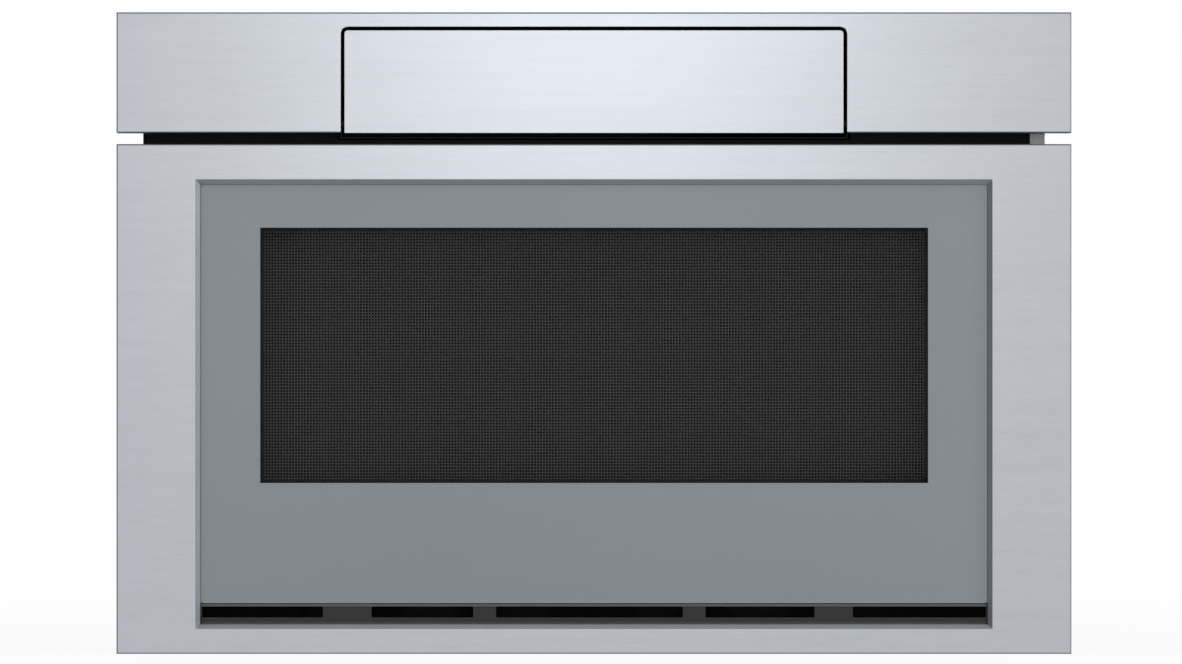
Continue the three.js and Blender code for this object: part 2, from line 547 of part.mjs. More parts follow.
function magnetronFins() {
  const pitch = 8.5;
  const x = both(YOKE_WIDTH / 2 - 2 - SEAT);
  const fins = [0, 1, 2, 3, 4, 5].map((i) => {
    const z = YOKE_TOP - YOKE_HEIGHT + 9 + pitch * i;
    return block(x, around(MAGNETRON_Y, YOKE_DEPTH / 2 - 6), [z, z + 0.8]);
  });
  const sleeveZ = [YOKE_TOP - YOKE_HEIGHT + 2 + SEAT, YOKE_TOP - 2 - SEAT];
  const sleeve = rod("Z", 0, MAGNETRON_Y, ANODE_RADIUS + SEAT + 2, sleeveZ, 14);
  const bore = rod("Z", 0, MAGNETRON_Y, ANODE_RADIUS + SEAT, grow(sleeveZ, 1), 14);
  return cut(join(sleeve, ...fins), bore);
}

function filterBox() {
  const top = YOKE_TOP - YOKE_HEIGHT - SEAT;
  const body = extrude("Z", rectangle(both(30), around(MAGNETRON_Y, 26), 4), [top - 32, top]);
  const terminals = [-9, 9].map((x) => rod("Y", x, top - 16, 3.5, [MAGNETRON_Y + 25, MAGNETRON_Y + 36], 10));
  return join(body, ...terminals);
}

// ---------------------------------------------------------------- power supply and cooling

const TRANSFORMER_X = TRANSFORMER_FROM_SIDE - CASE_X;
const TRANSFORMER_Y = REAR - TRANSFORMER_FROM_REAR;
const CORE_FLOOR = PAN_FLOOR + 2;
const WINDOW_IN_CORE = 18; // iron above and below the core's windows

function transformerCore() {
  const x = around(TRANSFORMER_X, CORE_WIDTH / 2);
  const y = around(TRANSFORMER_Y, CORE_DEPTH / 2);
  const z = [CORE_FLOOR, CORE_FLOOR + CORE_HEIGHT];
  const stack = block(x, y, z);
  const foot = extrude("Z", rectangle(grow(x, 10), grow(y, -6), 4), [PAN_FLOOR, PAN_FLOOR + 3]);
  const windowFar = CORE_WIDTH / 2 - CORE_YOKE;
  const windowNear = CORE_LIMB / 2;
  const windows = [-1, 1].map((side) => {
    const centre = TRANSFORMER_X + side * (windowNear + windowFar) / 2;
    return block(around(centre, (windowFar - windowNear) / 2), grow(y, 1), grow(z, -WINDOW_IN_CORE));
  });
  return cut(join(stack, foot), ...windows);
}

// Primary and secondary coils round the core's middle limb, with the thin filament winding between them.
function transformerWindings() {
  const half = CORE_WIDTH / 2 - CORE_YOKE - 0.5;
  const turns = (inset, spread) => extrude("Z", rectangle(around(TRANSFORMER_X, half - inset),
    around(TRANSFORMER_Y, WINDING_DEPTH / 2 - inset), 12), spread);
  const z = grow([CORE_FLOOR, CORE_FLOOR + CORE_HEIGHT], -WINDOW_IN_CORE - SEAT);
  const at = (share) => z[0] + share * (z[1] - z[0]);
  const primary = turns(0, [at(0), at(0.42)]);
  const filament = turns(3, [at(0.4), at(0.54)]);
  const secondary = turns(1, [at(0.52), at(1)]);
  const limb = block(around(TRANSFORMER_X, CORE_LIMB / 2 + SEAT),
    around(TRANSFORMER_Y, CORE_DEPTH / 2 + SEAT), grow(z, 1));
  return cut(join(primary, filament, secondary), limb);
}

const CAPACITOR_X = CAPACITOR_FROM_SIDE - CASE_X;
const CAPACITOR_Y = REAR - CAPACITOR_FROM_REAR;

// The oval outline of the capacitor's can, grown by `by`.
function canOutline(by) {
  const x = around(CAPACITOR_X, CAPACITOR_WIDTH / 2 + by);
  const y = around(CAPACITOR_Y, CAPACITOR_DEPTH / 2 + by);
  return rectangle(x, y, CAPACITOR_WIDTH / 2 - 2 + by);
}

function hvCapacitor() {
  const top = PAN_FLOOR + CAPACITOR_HEIGHT;
  const can = extrude("Z", canOutline(0), [PAN_FLOOR, top], { edge: 1.5 });
  const tabs = [-12, 12].map((y) =>
    block(around(CAPACITOR_X, 3), around(CAPACITOR_Y + y, 0.5), [top - 1, top + 11]));
  return join(can, ...tabs);
}

// A band round the can with a tab bent out to the pan, stiffened by its fold.
function capacitorClamp() {
  const z = [PAN_FLOOR + 30, PAN_FLOOR + 46];
  const side = CAPACITOR_X + CAPACITOR_WIDTH / 2 + 0.5;
  const band = extrude("Z", canOutline(1.3), z);
  const upright = block([side, side + 1.5], around(CAPACITOR_Y, 7), [PAN_FLOOR, z[1]]);
  const foot = block([side, side + 10.5], around(CAPACITOR_Y, 7), [PAN_FLOOR, PAN_FLOOR + 1.5]);
  const can = extrude("Z", canOutline(SEAT), grow([PAN_FLOOR, z[1]], 1));
  return cut(join(band, upright, foot), can);
}

function hvDiode() {
  const base = PAN_FLOOR;
  const x = TRANSFORMER_X + 74;
  const y = REAR - 48.5;
  const post = block(around(x, 6), around(y, 6), [base, base + 3]);
  const body = rod("X", y, base + 6, 3.6, around(x, 10), 12);
  return join(post, body);
}

// Axial fan behind the rear grille: a square shroud, a shaded-pole motor on three spokes and five pitched
// blades.
const FAN_REAR = REAR - SHEET - SEAT;

function fanShroud() {
  const y = [FAN_REAR - FAN_DEPTH, FAN_REAR];
  const half = FAN_RADIUS + 8;
  const frame = extrude("Y", rectangle(around(FAN_X, half), around(FAN_Z, half), 8), y);
  const bore = rod("Y", FAN_X, FAN_Z, FAN_RADIUS + 3, grow(y, 1), 24);
  const spoke = [0, 1, 2].map((i) => {
    const arm = geometryOf(block([12, FAN_RADIUS + 5], [y[0], y[0] + 4], both(4)));
    arm.rotateY((2 * Math.PI * i) / 3 + Math.PI / 6);
    arm.translate(FAN_X, 0, FAN_Z);
    return solid(arm);
  });
  const seat = rod("Y", FAN_X, FAN_Z, 18, [y[0], y[0] + 4], 14);
  const shaftHole = rod("Y", FAN_X, FAN_Z, 4, grow([y[0], y[0] + 4], 1), 12);
  return cut(join(cut(frame, bore), ...spoke, seat), shaftHole);
}

function fanMotor() {
  const y = [FAN_REAR - FAN_DEPTH - SEAT - 34, FAN_REAR - FAN_DEPTH - SEAT];
  const core = block(around(FAN_X, 24), [y[0] + 6, y[1] - 8], [FAN_Z - 26, FAN_Z + 44]);
  const rotorCan = rod("Y", FAN_X, FAN_Z, 17, y, 14);
  const coil = extrude("X", rectangle([y[0] + 1, y[1] - 3], [FAN_Z + 26, FAN_Z + 52], 5), around(FAN_X, 14));
  const bore = rod("Y", FAN_X, FAN_Z, 3 + SEAT, [y[1] - 12, y[1] + 1], 12);
  return cut(join(core, rotorCan, coil), bore);
}

// Drawn about its own axis, which runs along Y.
function fanBlade() {
  const hub = rod("Y", 0, 0, 14, [-9, 9], 14);
  const shaft = rod("Y", 0, 0, 3, [BLADE_BEFORE_REAR - FAN_DEPTH - SEAT - 9.7, -8], 12);
  const blades = [0, 1, 2, 3, 4].map((i) => {
    const tip = [[FAN_RADIUS - 5, -17], [FAN_RADIUS - 1, 0], [FAN_RADIUS - 6, 15]];
    const outline = polygon([[10, -2], [14, -10], ...tip, [12, 8]]);
    const blade = geometryOf(extrude("Y", outline, both(0.9)));
    blade.rotateX(0.42);
    blade.rotateY((2 * Math.PI * i) / 5);
    return solid(blade);
  });
  return join(hub, shaft, ...blades);
}
const FAN_BLADE_Y = FAN_REAR - BLADE_BEFORE_REAR;

// Duct that turns the fan's air towards the magnetron's fins.
function airDuct() {
  const z = [YOKE_TOP - YOKE_HEIGHT + 4, YOKE_TOP - 4];
  const x = [YOKE_WIDTH / 2 + 8, FAN_X - FAN_RADIUS - 12];
  const throat = around(MAGNETRON_Y, YOKE_DEPTH / 2 - 9);
  const mouth = [MAGNETRON_Y - 14, MAGNETRON_Y + 52];
  const flare = ([left, right], low, high) =>
    polygon([[left, low[0]], [right, high[0]], [right, high[1]], [left, low[1]]]);
  const inside = flare(grow(x, 1), grow(throat, -2), grow(mouth, -2));
  return cut(extrude("Z", flare(x, throat, mouth), z), extrude("Z", inside, grow(z, -1.5)));
}

const boardCorners = (x, y) => grow(x, -7).flatMap((u) => grow(y, -8).map((v) => [u, v]));

function filterBoard() {
  const z = CASE_HEIGHT - 62;
  const x = [16 - CASE_X, 16 - CASE_X + FILTER_BOARD_WIDTH];
  const y = [REAR - 30 - FILTER_BOARD_LENGTH, REAR - 30];
  const chokeX = x[0] + 27;
  const board = extrude("Z", rectangle(x, y, 3), [z, z + 1.6]);
  const choke = cut(rod("Z", chokeX, y[0] + 42, 15, [z + 1, z + 17], 14),
    rod("Z", chokeX, y[0] + 42, 6, [z + 2, z + 18], 12));
  const capacitors = [18, 32].map((at) =>
    block([x[1] - 35, x[1] - 10], [y[0] + at, y[0] + at + 9], [z + 1, z + 15]));
  const feet = boardCorners(x, y).map(([u, v]) => rod("Z", u, v, 3, [z - 6, z + 1], 8));
  return join(board, choke, ...capacitors, ...feet);
}

function controlBoard() {
  const z = CAVITY_ROOF + SHEET + SEAT;
  const right = -DOME_RADIUS - 20;
  const x = [right - CONTROL_BOARD_WIDTH, right];
  const y = [CAVITY_FRONT + 50, CAVITY_FRONT + 50 + CONTROL_BOARD_LENGTH];
  const board = extrude("Z", rectangle(x, y, 3), [z + 8, z + 9.6]);
  const feet = boardCorners(x, y).map(([u, v]) => rod("Z", u, v, 3.5, [z, z + 9], 8));
  const transformer = block([x[0] + 20, x[0] + 60], [y[1] - 70, y[1] - 32], [z + 9, z + 42]);
  const relays = [180, 206, 232].map((at) =>
    block([x[1] - 45, x[1] - 17], [y[0] + at, y[0] + at + 18], [z + 9, z + 25]));
  const header = block([x[0] + 5, x[0] + 11], [y[0] + 60, y[0] + 130], [z + 9, z + 18]);
  return join(board, ...feet, transformer, ...relays, header);
}

function ovenLamp() {
  const x = -CAVITY_X - SHEET - SEAT;
  const socket = extrude("X", rectangle(around(LAMP_Y, 16), around(LAMP_Z, 16), 4), [x - 3, x]);
  const holder = rod("X", LAMP_Y, LAMP_Z, 11, [x - 24, x - 2], 12);
  return join(socket, holder);
}

// ---------------------------------------------------------------- fascia and control hatch

function openFrontHole(y) {
  const z = [FASCIA[0] - 1, HATCH_OPENING_TOP];
  return extrude("Y", rectangle(both(HATCH_OPENING_X), z, [0, 0, 4, 4]), y);
}

function fasciaSkin() {
  const back = FRAME_FRONT - 8;
  const outline = rectangle(both(FRONT_WIDTH / 2), FASCIA);
  const outer = extrude("Y", outline, [FACE, back + 3], { edge: SKIN_EDGE });
  const inside = block(both(FRONT_WIDTH / 2 - SKIN), [FACE + SKIN, back + 4], grow(FASCIA, -SKIN));
  const trimmed = block(both(FRONT_WIDTH), [back, back + 4], grow(FASCIA, 1));
  return cut(outer, inside, trimmed, openFrontHole([FACE - 1, back + 4]));
}

// The moulded carrier behind the skin: a backing plate with end ribs, and the well in which the hatch turns.
function fasciaCarrier() {
  const y = [FACE + SKIN + SEAT, FRAME_FRONT - FRAME_LIP - SEAT];
  const x = FRONT_WIDTH / 2 - SKIN - SEAT;
  const z = grow(FASCIA, -SKIN - SEAT);
  const frame = cut(block(both(x), y, z), block(both(x - 2.5), [y[0] + 2.5, y[1] + 1], grow(z, -2.5)));
  const ribs = [-1, 1].flatMap((side) => [205, 245].map((at) =>
    block(around(side * at, 1), [y[0] + 1, y[1]], grow(z, -1))));
  const reach = WELL_RADIUS + WELL_WALL;
  const arc = (radius, low, front) => {
    const shape = new THREE.Shape();
    shape.moveTo(front, HINGE_Z + radius);
    shape.lineTo(front, low);
    shape.lineTo(HINGE_Y + radius, low);
    shape.lineTo(HINGE_Y + radius, HINGE_Z);
    shape.absarc(HINGE_Y, HINGE_Z, radius, 0, Math.PI / 2);
    return shape;
  };
  const wellFloor = FASCIA[0] - 2;
  const wellX = HATCH_OPENING_X + WELL_WALL;
  const curve = { curveSegments: 7 };
  const drum = extrude("X", arc(reach, wellFloor - WELL_WALL, y[0]), both(wellX), curve);
  const turningRoom = extrude("X", arc(WELL_RADIUS, wellFloor, FACE - 1), both(HATCH_OPENING_X), curve);
  const wellDepth = [FACE - 1, FRAME_FRONT - 0.5];
  const lowFront = block(both(wellX + 1), wellDepth, [wellFloor - 3, FASCIA[0] + SKIN + SEAT]);
  const openBelow = block(both(HATCH_OPENING_X), wellDepth, [wellFloor - 3, HINGE_Z]);
  const pins = [-1, 1].map((side) => rod("X", HINGE_Y, HINGE_Z, HINGE_PIN_RADIUS + SEAT,
    side > 0 ? [HATCH_OPENING_X - 1, wellX + 3] : [-wellX - 3, -HATCH_OPENING_X + 1], 16));
  const heads = [-1, 1].map((side) => rod("X", HINGE_Y, HINGE_Z, HINGE_PIN_RADIUS + 1.5 + SEAT,
    side > 0 ? [wellX, wellX + 3] : [-wellX - 3, -wellX], 16));
  const bracketRoom = block(grow([FRAME_WIDTH / 2 - END_BRACKET_WIDTH, FRAME_WIDTH / 2], SEAT),
    [FRAME_FRONT - END_BRACKET_DEPTH - SEAT, FRAME_FRONT], [FASCIA[0], FASCIA[0] + END_BRACKET_RISE + SEAT]);
  return cut(join(frame, ...ribs, drum), turningRoom, lowFront, openBelow, ...pins, ...heads, bracketRoom);
}

// The right hinge pin; the left one is its mirror image. Its head sits outside the well's cheek.
function hingePin() {
  const cheek = HATCH_OPENING_X + WELL_WALL;
  const pin = rod("X", HINGE_Y, HINGE_Z, HINGE_PIN_RADIUS, [HATCH_X - 6, cheek + 2.5], 12);
  const head = rod("X", HINGE_Y, HINGE_Z, HINGE_PIN_RADIUS + 1.5, [cheek + SEAT, cheek + 2.5], 12);
  return join(pin, head);
}

// The hatch is drawn about its hinge axis: y and z run from the axis.
const HATCH_LOW = -HATCH_HINGE_INSET;

function hatchSkin() {
  const z = [HATCH_LOW, HATCH_REACH];
  const y = [HATCH_LOW, HATCH_LOW + SKIN];
  const face = extrude("Y", rectangle(both(HATCH_X), z, [0.5, 0.5, 1.8, 1.8]), [y[0], y[1]]);
  const lower = block(both(HATCH_X), [y[0] + 0.5, y[0] + 11], [HATCH_LOW, HATCH_LOW + SKIN]);
  return join(face, lower);
}

// A wedge: the stainless face in front, a flat underside, and a slope behind that carries the control glass.
function wedge(inset, x) {
  const low = HATCH_LOW + SKIN + SEAT + inset;
  const high = HATCH_REACH - 1 - inset;
  return extrude("X", polygon([[low, low], [high, low], [high, low + 3], [low + 3, high], [low, high]]), x);
}
const SLOPE_FACE = (HATCH_REACH - 1 + HATCH_LOW + SKIN + SEAT + 3) / Math.SQRT2; // from the hinge axis
const SLOPE_LENGTH = Math.SQRT2 * (HATCH_REACH - 1 - HATCH_LOW - SKIN - SEAT - 3);
const GLASS_INSET = 3;

// A slab parallel to the slope, `depth` below it, `half` long to each side of the slope's middle.
function slopeSlab(x, half, depth) {
  const slab = geometryOf(block(x, [-depth[1], -depth[0]], both(half)));
  slab.translate(0, SLOPE_FACE, 0);
  slab.rotateX(Math.PI / 4);
  return solid(slab);
}

function hatchHousing() {
  const body = wedge(0, both(HATCH_X - 0.6));
  const rebate = slopeSlab(both(HATCH_X - GLASS_INSET), SLOPE_LENGTH / 2 - 2, [-1, 2.5 + SEAT]);
  const pocket = slopeSlab(both(HATCH_X - 12), 22, [-1, 16]);
  const lowerLip = block(both(HATCH_X + 1), [HATCH_LOW - 1, HATCH_LOW + 11 + SEAT],
    [HATCH_LOW - 1, HATCH_LOW + SKIN + SEAT]);
  const pins = [-1, 1].map((side) => rod("X", 0, 0, HINGE_PIN_RADIUS + SEAT,
    side > 0 ? [HATCH_X - 7, HATCH_X + 1] : [-HATCH_X - 1, 7 - HATCH_X], 16));
  return cut(body, rebate, pocket, lowerLip, ...pins);
}

function controlGlass() {
  return slopeSlab(both(HATCH_X - GLASS_INSET - SEAT), SLOPE_LENGTH / 2 - 2 - SEAT, [0, 2.5]);
}

function displayBoard() {
  const board = slopeSlab(both(HATCH_X - 14), 20, [9, 10.6]);
  const display = slopeSlab(both(42), 13, [2.5 + SEAT, 9.2]);
  const outermost = HATCH_X - 21.4;
  const touchPads = [-1, 1].flatMap((side) => [0, 1, 2, 3].map((i) =>
    slopeSlab(around(side * (outermost - 24 * i), 9), 9, [2.5 + SEAT, 9.2])));
  const stand = slopeSlab(both(60), 8, [10, 16 - SEAT]);
  return join(board, display, ...touchPads, stand);
}

// ---------------------------------------------------------------- slides and drive (right side)

// A channel member seen from the front, its web outside and its edges turned in by `lip`.
function member(webX, height, depth, lip, inward) {
  const t = RAIL_SHEET;
  const low = RAIL_MIDDLE_Z - height / 2;
  const high = RAIL_MIDDLE_Z + height / 2;
  const at = (d) => webX + inward * d;
  const ends = lip > 0
    ? [[at(depth), low], [at(depth), low + lip], [at(depth - t), low + lip], [at(depth - t), low + t]]
    : [[at(depth), low], [at(depth), low + t]];
  const upper = ends.map(([x, z]) => [x, 2 * RAIL_MIDDLE_Z - z]).reverse();
  return polygon([[at(0), low], ...ends, [at(t), low + t], [at(t), high - t], ...upper, [at(0), high]]);
}

const OUTER_DEPTH = RAIL_THICKNESS - RAIL_SHEET - 0.9;
const MIDDLE_HEIGHT = RAIL_HEIGHT - 2 * (RAIL_SHEET + BALL);
const MIDDLE_X = RAIL_X - RAIL_SHEET - 1.4;
const MIDDLE_DEPTH = 7;
const INNER_HEIGHT = MIDDLE_HEIGHT - 2 * (RAIL_SHEET + BALL);
const INNER_X = RAIL_X - RAIL_THICKNESS;
const INNER_DEPTH = 6.5;
const RAIL_SPAN = [RAIL_FRONT, RAIL_FRONT + RAIL_LENGTH];

function outerRail() {
  const channel = extrude("Y", member(RAIL_X, RAIL_HEIGHT, OUTER_DEPTH, 3, -1), RAIL_SPAN);
  const holes = [40, 200, 330, RAIL_LENGTH - 40].map((at) =>
    rod("X", RAIL_FRONT + at, RAIL_MIDDLE_Z, 4, grow([RAIL_X - RAIL_SHEET, RAIL_X], 1), 12));
  return cut(channel, ...holes);
}

// The middle member carries both ball strips of its own flanges.
function middleRail() {
  const channel = extrude("Y", member(MIDDLE_X, MIDDLE_HEIGHT, MIDDLE_DEPTH, 0, -1), RAIL_SPAN);
  const x = MIDDLE_X - MIDDLE_DEPTH / 2;
  const half = MIDDLE_HEIGHT / 2;
  const raceways = [half + BALL / 2 - SEAT, half - RAIL_SHEET - BALL / 2 + SEAT];
  const strips = raceways.flatMap((up) => [-1, 1].map((side) =>
    rod("Y", x, RAIL_MIDDLE_Z + side * up, BALL / 2, grow(RAIL_SPAN, -60), 8)));
  const windows = [90, RAIL_LENGTH / 2, RAIL_LENGTH - 90].map((at) => {
    const slot = rectangle(around(RAIL_FRONT + at, 30), around(RAIL_MIDDLE_Z, 6), 5.9);
    return extrude("X", slot, grow([MIDDLE_X - RAIL_SHEET, MIDDLE_X], 1));
  });
  return cut(join(channel, ...strips), ...windows);
}

function innerRail() {
  const channel = extrude("Y", member(INNER_X, INNER_HEIGHT, INNER_DEPTH, 0, 1), RAIL_SPAN);
  const holes = [30, 180, 320, RAIL_LENGTH - 30].map((at) =>
    rod("X", RAIL_FRONT + at, RAIL_MIDDLE_Z, 3, grow([INNER_X, INNER_X + RAIL_SHEET], 1), 12));
  return cut(channel, ...holes);
}

// The arm that carries the drawer's weight from the door frame to the inner member: web, foot and front tab.
function sideArm() {
  const front = DOOR_PAN_BACK + SEAT;
  const span = [front, front + ARM_LENGTH];
  const x = [ARM_X - ARM_SHEET, ARM_X];
  const top = RAIL_FLOOR + RAIL_HEIGHT + 2;
  const web = extrude("X", polygon([[span[0], ARM_FLOOR], [span[1], ARM_FLOOR], [span[1], top - 18],
    [span[1] - 60, top], [span[0], top]]), x);
  const foot = block([RACK_X[0], ARM_X], span, [ARM_FLOOR, ARM_FLOOR + ARM_SHEET]);
  const tab = block([ARM_X - ARM_TAB, ARM_X], [front, front + ARM_SHEET], [ARM_FLOOR, top]);
  const lightening = [80, 175, 270, 365].map((at) =>
    extrude("X", rectangle(around(span[0] + at, 26), around(RAIL_MIDDLE_Z, 8), 7.9), grow(x, 1)));
  return cut(join(web, foot, tab), ...lightening);
}

// The rack hangs under the right arm's foot, its teeth down; a tooth gap stands over the pinion when shut.
function rack() {
  const back = PITCH_LINE_Z + DEDENDUM + RACK_BACK;
  const root = PITCH_LINE_Z + DEDENDUM;
  const tip = PITCH_LINE_Z - ADDENDUM;
  const slope = Math.tan(PRESSURE_ANGLE);
  const halfTooth = (RACK_PITCH / 2 - BACKLASH) / 2;
  const front = DOOR_PAN_BACK + SEAT + ARM_SHEET + 4;
  const rear = PINION_Y + TRAVEL + RACK_OVERRUN;
  const first = Math.ceil((front + 2 - PINION_Y) / RACK_PITCH);
  const last = Math.floor((rear - 2 - PINION_Y) / RACK_PITCH) - 1;
  const teeth = [];
  for (let i = first; i <= last; i += 1) {
    const y = PINION_Y + (i + 0.5) * RACK_PITCH;
    const wide = halfTooth + DEDENDUM * slope;
    const narrow = halfTooth - ADDENDUM * slope;
    teeth.push([y - wide, root], [y - narrow, tip], [y + narrow, tip], [y + wide, root]);
  }
  const outline = polygon([[front, root], ...teeth, [rear, root], [rear, back], [front, back]]);
  return extrude("X", outline, RACK_X);
}

// Involute pinion drawn about its own axis (y, z), with a tooth pointing straight up.
function pinionOutline() {
  const base = PINION_RADIUS * Math.cos(PRESSURE_ANGLE);
  const tip = PINION_RADIUS + ADDENDUM;
  const root = PINION_RADIUS - DEDENDUM;
  const involute = (radius) => {
    const angle = Math.acos(Math.min(1, base / radius));
    return Math.tan(angle) - angle;
  };
  const halfAtPitch = (RACK_PITCH / 2 - BACKLASH) / (2 * PINION_RADIUS);
  const halfAt = (radius) => halfAtPitch + involute(PINION_RADIUS) - involute(radius);
  const radii = [root, base, PINION_RADIUS, tip];
  const points = [];
  for (let tooth = 0; tooth < PINION_TEETH; tooth += 1) {
    const middle = Math.PI / 2 + (2 * Math.PI * tooth) / PINION_TEETH;
    const flank = (side) => radii.map((radius) => {
      const angle = middle + side * halfAt(radius);
      return [radius * Math.cos(angle), radius * Math.sin(angle)];
    });
    points.push(...flank(-1), ...flank(1).reverse());
  }
  return polygon(points);
}

function drivePinion() {
  const half = PINION_WIDTH / 2;
  const gear = extrude("X", pinionOutline(), both(half - 0.5));
  const collar = rod("X", 0, 0, 7, [-half - 3, half + 2], 12);
  const shaft = rod("X", 0, 0, PINION_SHAFT_RADIUS, [-half - 20, half + 8], 12);
  return join(gear, collar, shaft);
}

const PINION_X = (RACK_X[0] + RACK_X[1]) / 2;
const MOTOR_PLATE = [RACK_X[0] - 7, RACK_X[0] - 4];

// A U-shaped bracket on the base pan: one cheek carries the gearmotor, the other the shaft's outer end.
function motorBracket() {
  const y = around(PINION_Y, 22);
  const outer = [PINION_X + PINION_WIDTH / 2 + 3, PINION_X + PINION_WIDTH / 2 + 5];
  const top = PINION_Z + 10;
  const plate = extrude("X", rectangle(y, [PAN_FLOOR, PINION_Z + 9], [0, 0, 6, 6]), MOTOR_PLATE);
  const cheek = extrude("X", rectangle(around(PINION_Y, 10), [PAN_FLOOR, top], [0, 0, 6, 6]), outer);
  const foot = block([MOTOR_PLATE[0] - 14, outer[1]], y, [PAN_FLOOR, PAN_FLOOR + BRACKET_SHEET]);
  const cheeks = grow([MOTOR_PLATE[0], outer[1]], 1);
  const bore = rod("X", PINION_Y, PINION_Z, PINION_SHAFT_RADIUS + SEAT, cheeks, 12);
  return cut(join(plate, cheek, foot), bore);
}

function gearmotor() {
  const faceX = MOTOR_PLATE[0] - SEAT;
  const box = extrude("X", rectangle(around(PINION_Y + 12, 30), [PAN_FLOOR + 4, PAN_FLOOR + 46], 8),
    [faceX - 22, faceX]);
  const can = rod("X", PINION_Y + 14, PAN_FLOOR + 25, 17, [faceX - 70, faceX - 21], 14);
  const endCap = rod("X", PINION_Y + 14, PAN_FLOOR + 25, 7, [faceX - 74, faceX - 69], 12);
  const bore = rod("X", PINION_Y, PINION_Z, PINION_SHAFT_RADIUS + SEAT, [faceX - 15, faceX + 1], 12);
  const web = block([faceX - 30, faceX], [PINION_Y + 6, PINION_Y + 40], [PAN_FLOOR, PAN_FLOOR + 5]);
  const clearOfFoot = block([MOTOR_PLATE[0] - 14 - SEAT, faceX + 1], around(PINION_Y, 22 + SEAT),
    [PAN_FLOOR - 1, PAN_FLOOR + BRACKET_SHEET + SEAT]);
  return cut(join(box, can, endCap, web), bore, clearOfFoot);
}

// Two switches on a bracket beside the cavity mouth feel the door frame close.
const SWITCH_X = -CAVITY_X - 14;
const SWITCH_Z = CAVITY_FLOOR + 83;

function interlockBracket() {
  const x = [SWITCH_X - 12, SWITCH_X + 5];
  const z = around(SWITCH_Z, 40);
  const plate = block([x[0], x[0] + 1.5], [CAVITY_FRONT + SHEET + SEAT, CAVITY_FRONT + 48], z);
  const foot = extrude("Y", rectangle([x[0], x[1]], z, 1),
    [CAVITY_FRONT + SHEET + SEAT, CAVITY_FRONT + SHEET + SEAT + 1.5]);
  const plungerHoles = around(SWITCH_Z, 20).map((at) =>
    rod("Y", SWITCH_X - 3, at, 3, [CAVITY_FRONT, CAVITY_FRONT + 6], 10));
  return cut(join(plate, foot), ...plungerHoles);
}

function interlockSwitches() {
  const y = [CAVITY_FRONT + 8, CAVITY_FRONT + 30];
  const x = [SWITCH_X - 12 + 1.5 + SEAT, SWITCH_X + 4];
  const heights = around(SWITCH_Z, 20);
  const bodies = heights.map((z) => extrude("X", rectangle(y, around(z, 14), 2), x));
  const bridge = block([x[0], x[0] + 2], [y[1] - 6, y[1]], heights);
  const plungers = heights.map((z) => rod("Y", SWITCH_X - 3, z, 2, [CAVITY_FRONT + 1, y[0] + 1], 8));
  return join(...bodies, bridge, ...plungers);
}

// ---------------------------------------------------------------- drawer

function drawerTub() {
  const y = [TUB_FRONT, TUB_REAR];
  const outline = rectangle(both(TUB_X), y, [2, 2, TUB_CORNER, TUB_CORNER]);
  const outer = extrude("Z", outline, [TUB_FLOOR, TUB_RIM]);
  const inner = TUB_CORNER - TUB_WALL;
  const hollow = extrude("Z", rectangle(both(TUB_X - TUB_WALL), grow(y, -TUB_WALL), [6, 6, inner, inner]),
    [TUB_FLOOR + TUB_WALL, TUB_RIM + 1]);
  const rimZ = [TUB_RIM - 4, TUB_RIM];
  const rim = extrude("Z", rectangle(both(TUB_X + 2), [y[0] + 10, y[1] + 2], [2, 2, 14, 14]), rimZ);
  const rimHole = extrude("Z", rectangle(both(TUB_X - 1), grow(y, -1), [2, 2, 11, 11]), grow(rimZ, 1));
  const frontWall = grow([y[0], y[0] + TUB_WALL], 1);
  const window = extrude("Y", rectangle(both(WINDOW_X - 2), grow(WINDOW, -2), 4), frontWall);
  return cut(join(cut(outer, hollow), cut(rim, rimHole)), window);
}

function ceramicFloor() {
  const y = grow([TUB_FRONT, TUB_REAR], -TUB_WALL - SEAT);
  const z = [TUB_FLOOR + TUB_WALL + SEAT, TUB_FLOOR + TUB_WALL + SEAT + CERAMIC_THICKNESS];
  const corner = TUB_CORNER - TUB_WALL - SEAT;
  return extrude("Z", rectangle(both(TUB_X - TUB_WALL - SEAT), y, corner), z, { edge: 1 });
}

// The door's pressed steel core: window opening, the two walls of the choke groove, and folded outer edges.
function doorFrame() {
  const plateX = FRONT_WIDTH / 2 - SKIN - SEAT - 1;
  const plateZ = [DRAWER_FRONT[0] + SKIN + SEAT + 1, DRAWER_FRONT[1] - SKIN - SEAT - 1];
  const plate = ringY([both(plateX), plateZ], [both(WINDOW_X), WINDOW], [DOOR_PAN_FRONT, DOOR_PAN_BACK], 2);
  const grooveY = [DOOR_PAN_BACK - DOOR_SHEET / 2, DOOR_BACK - 1];
  const mouth = [CAVITY_FLOOR, CAVITY_ROOF];
  const wall = (x, by) => ringY([both(x + DOOR_SHEET), grow(mouth, by + DOOR_SHEET)],
    [both(x), grow(mouth, by)], grooveY, 4);
  const edge = ringY([both(plateX), plateZ], [both(plateX - DOOR_SHEET), grow(plateZ, -DOOR_SHEET)],
    [DOOR_PAN_FRONT, DOOR_BACK - 4], 2);
  const airHoles = [-1, 1].flatMap((side) => [0, 1, 2].map((i) => {
    const x = side * (45 + 60 * i);
    return extrude("Y", rectangle(around(x, 22), [8, 30], 6), grow([DOOR_PAN_FRONT, DOOR_PAN_BACK], 1));
  }));
  const innerWall = wall(CHOKE_INNER_X, CHOKE_STEP);
  const outerWall = wall(CHOKE_OUTER_X, CHOKE_STEP + CHOKE_WIDTH);
  return cut(join(plate, innerWall, outerWall, edge), ...airHoles);
}

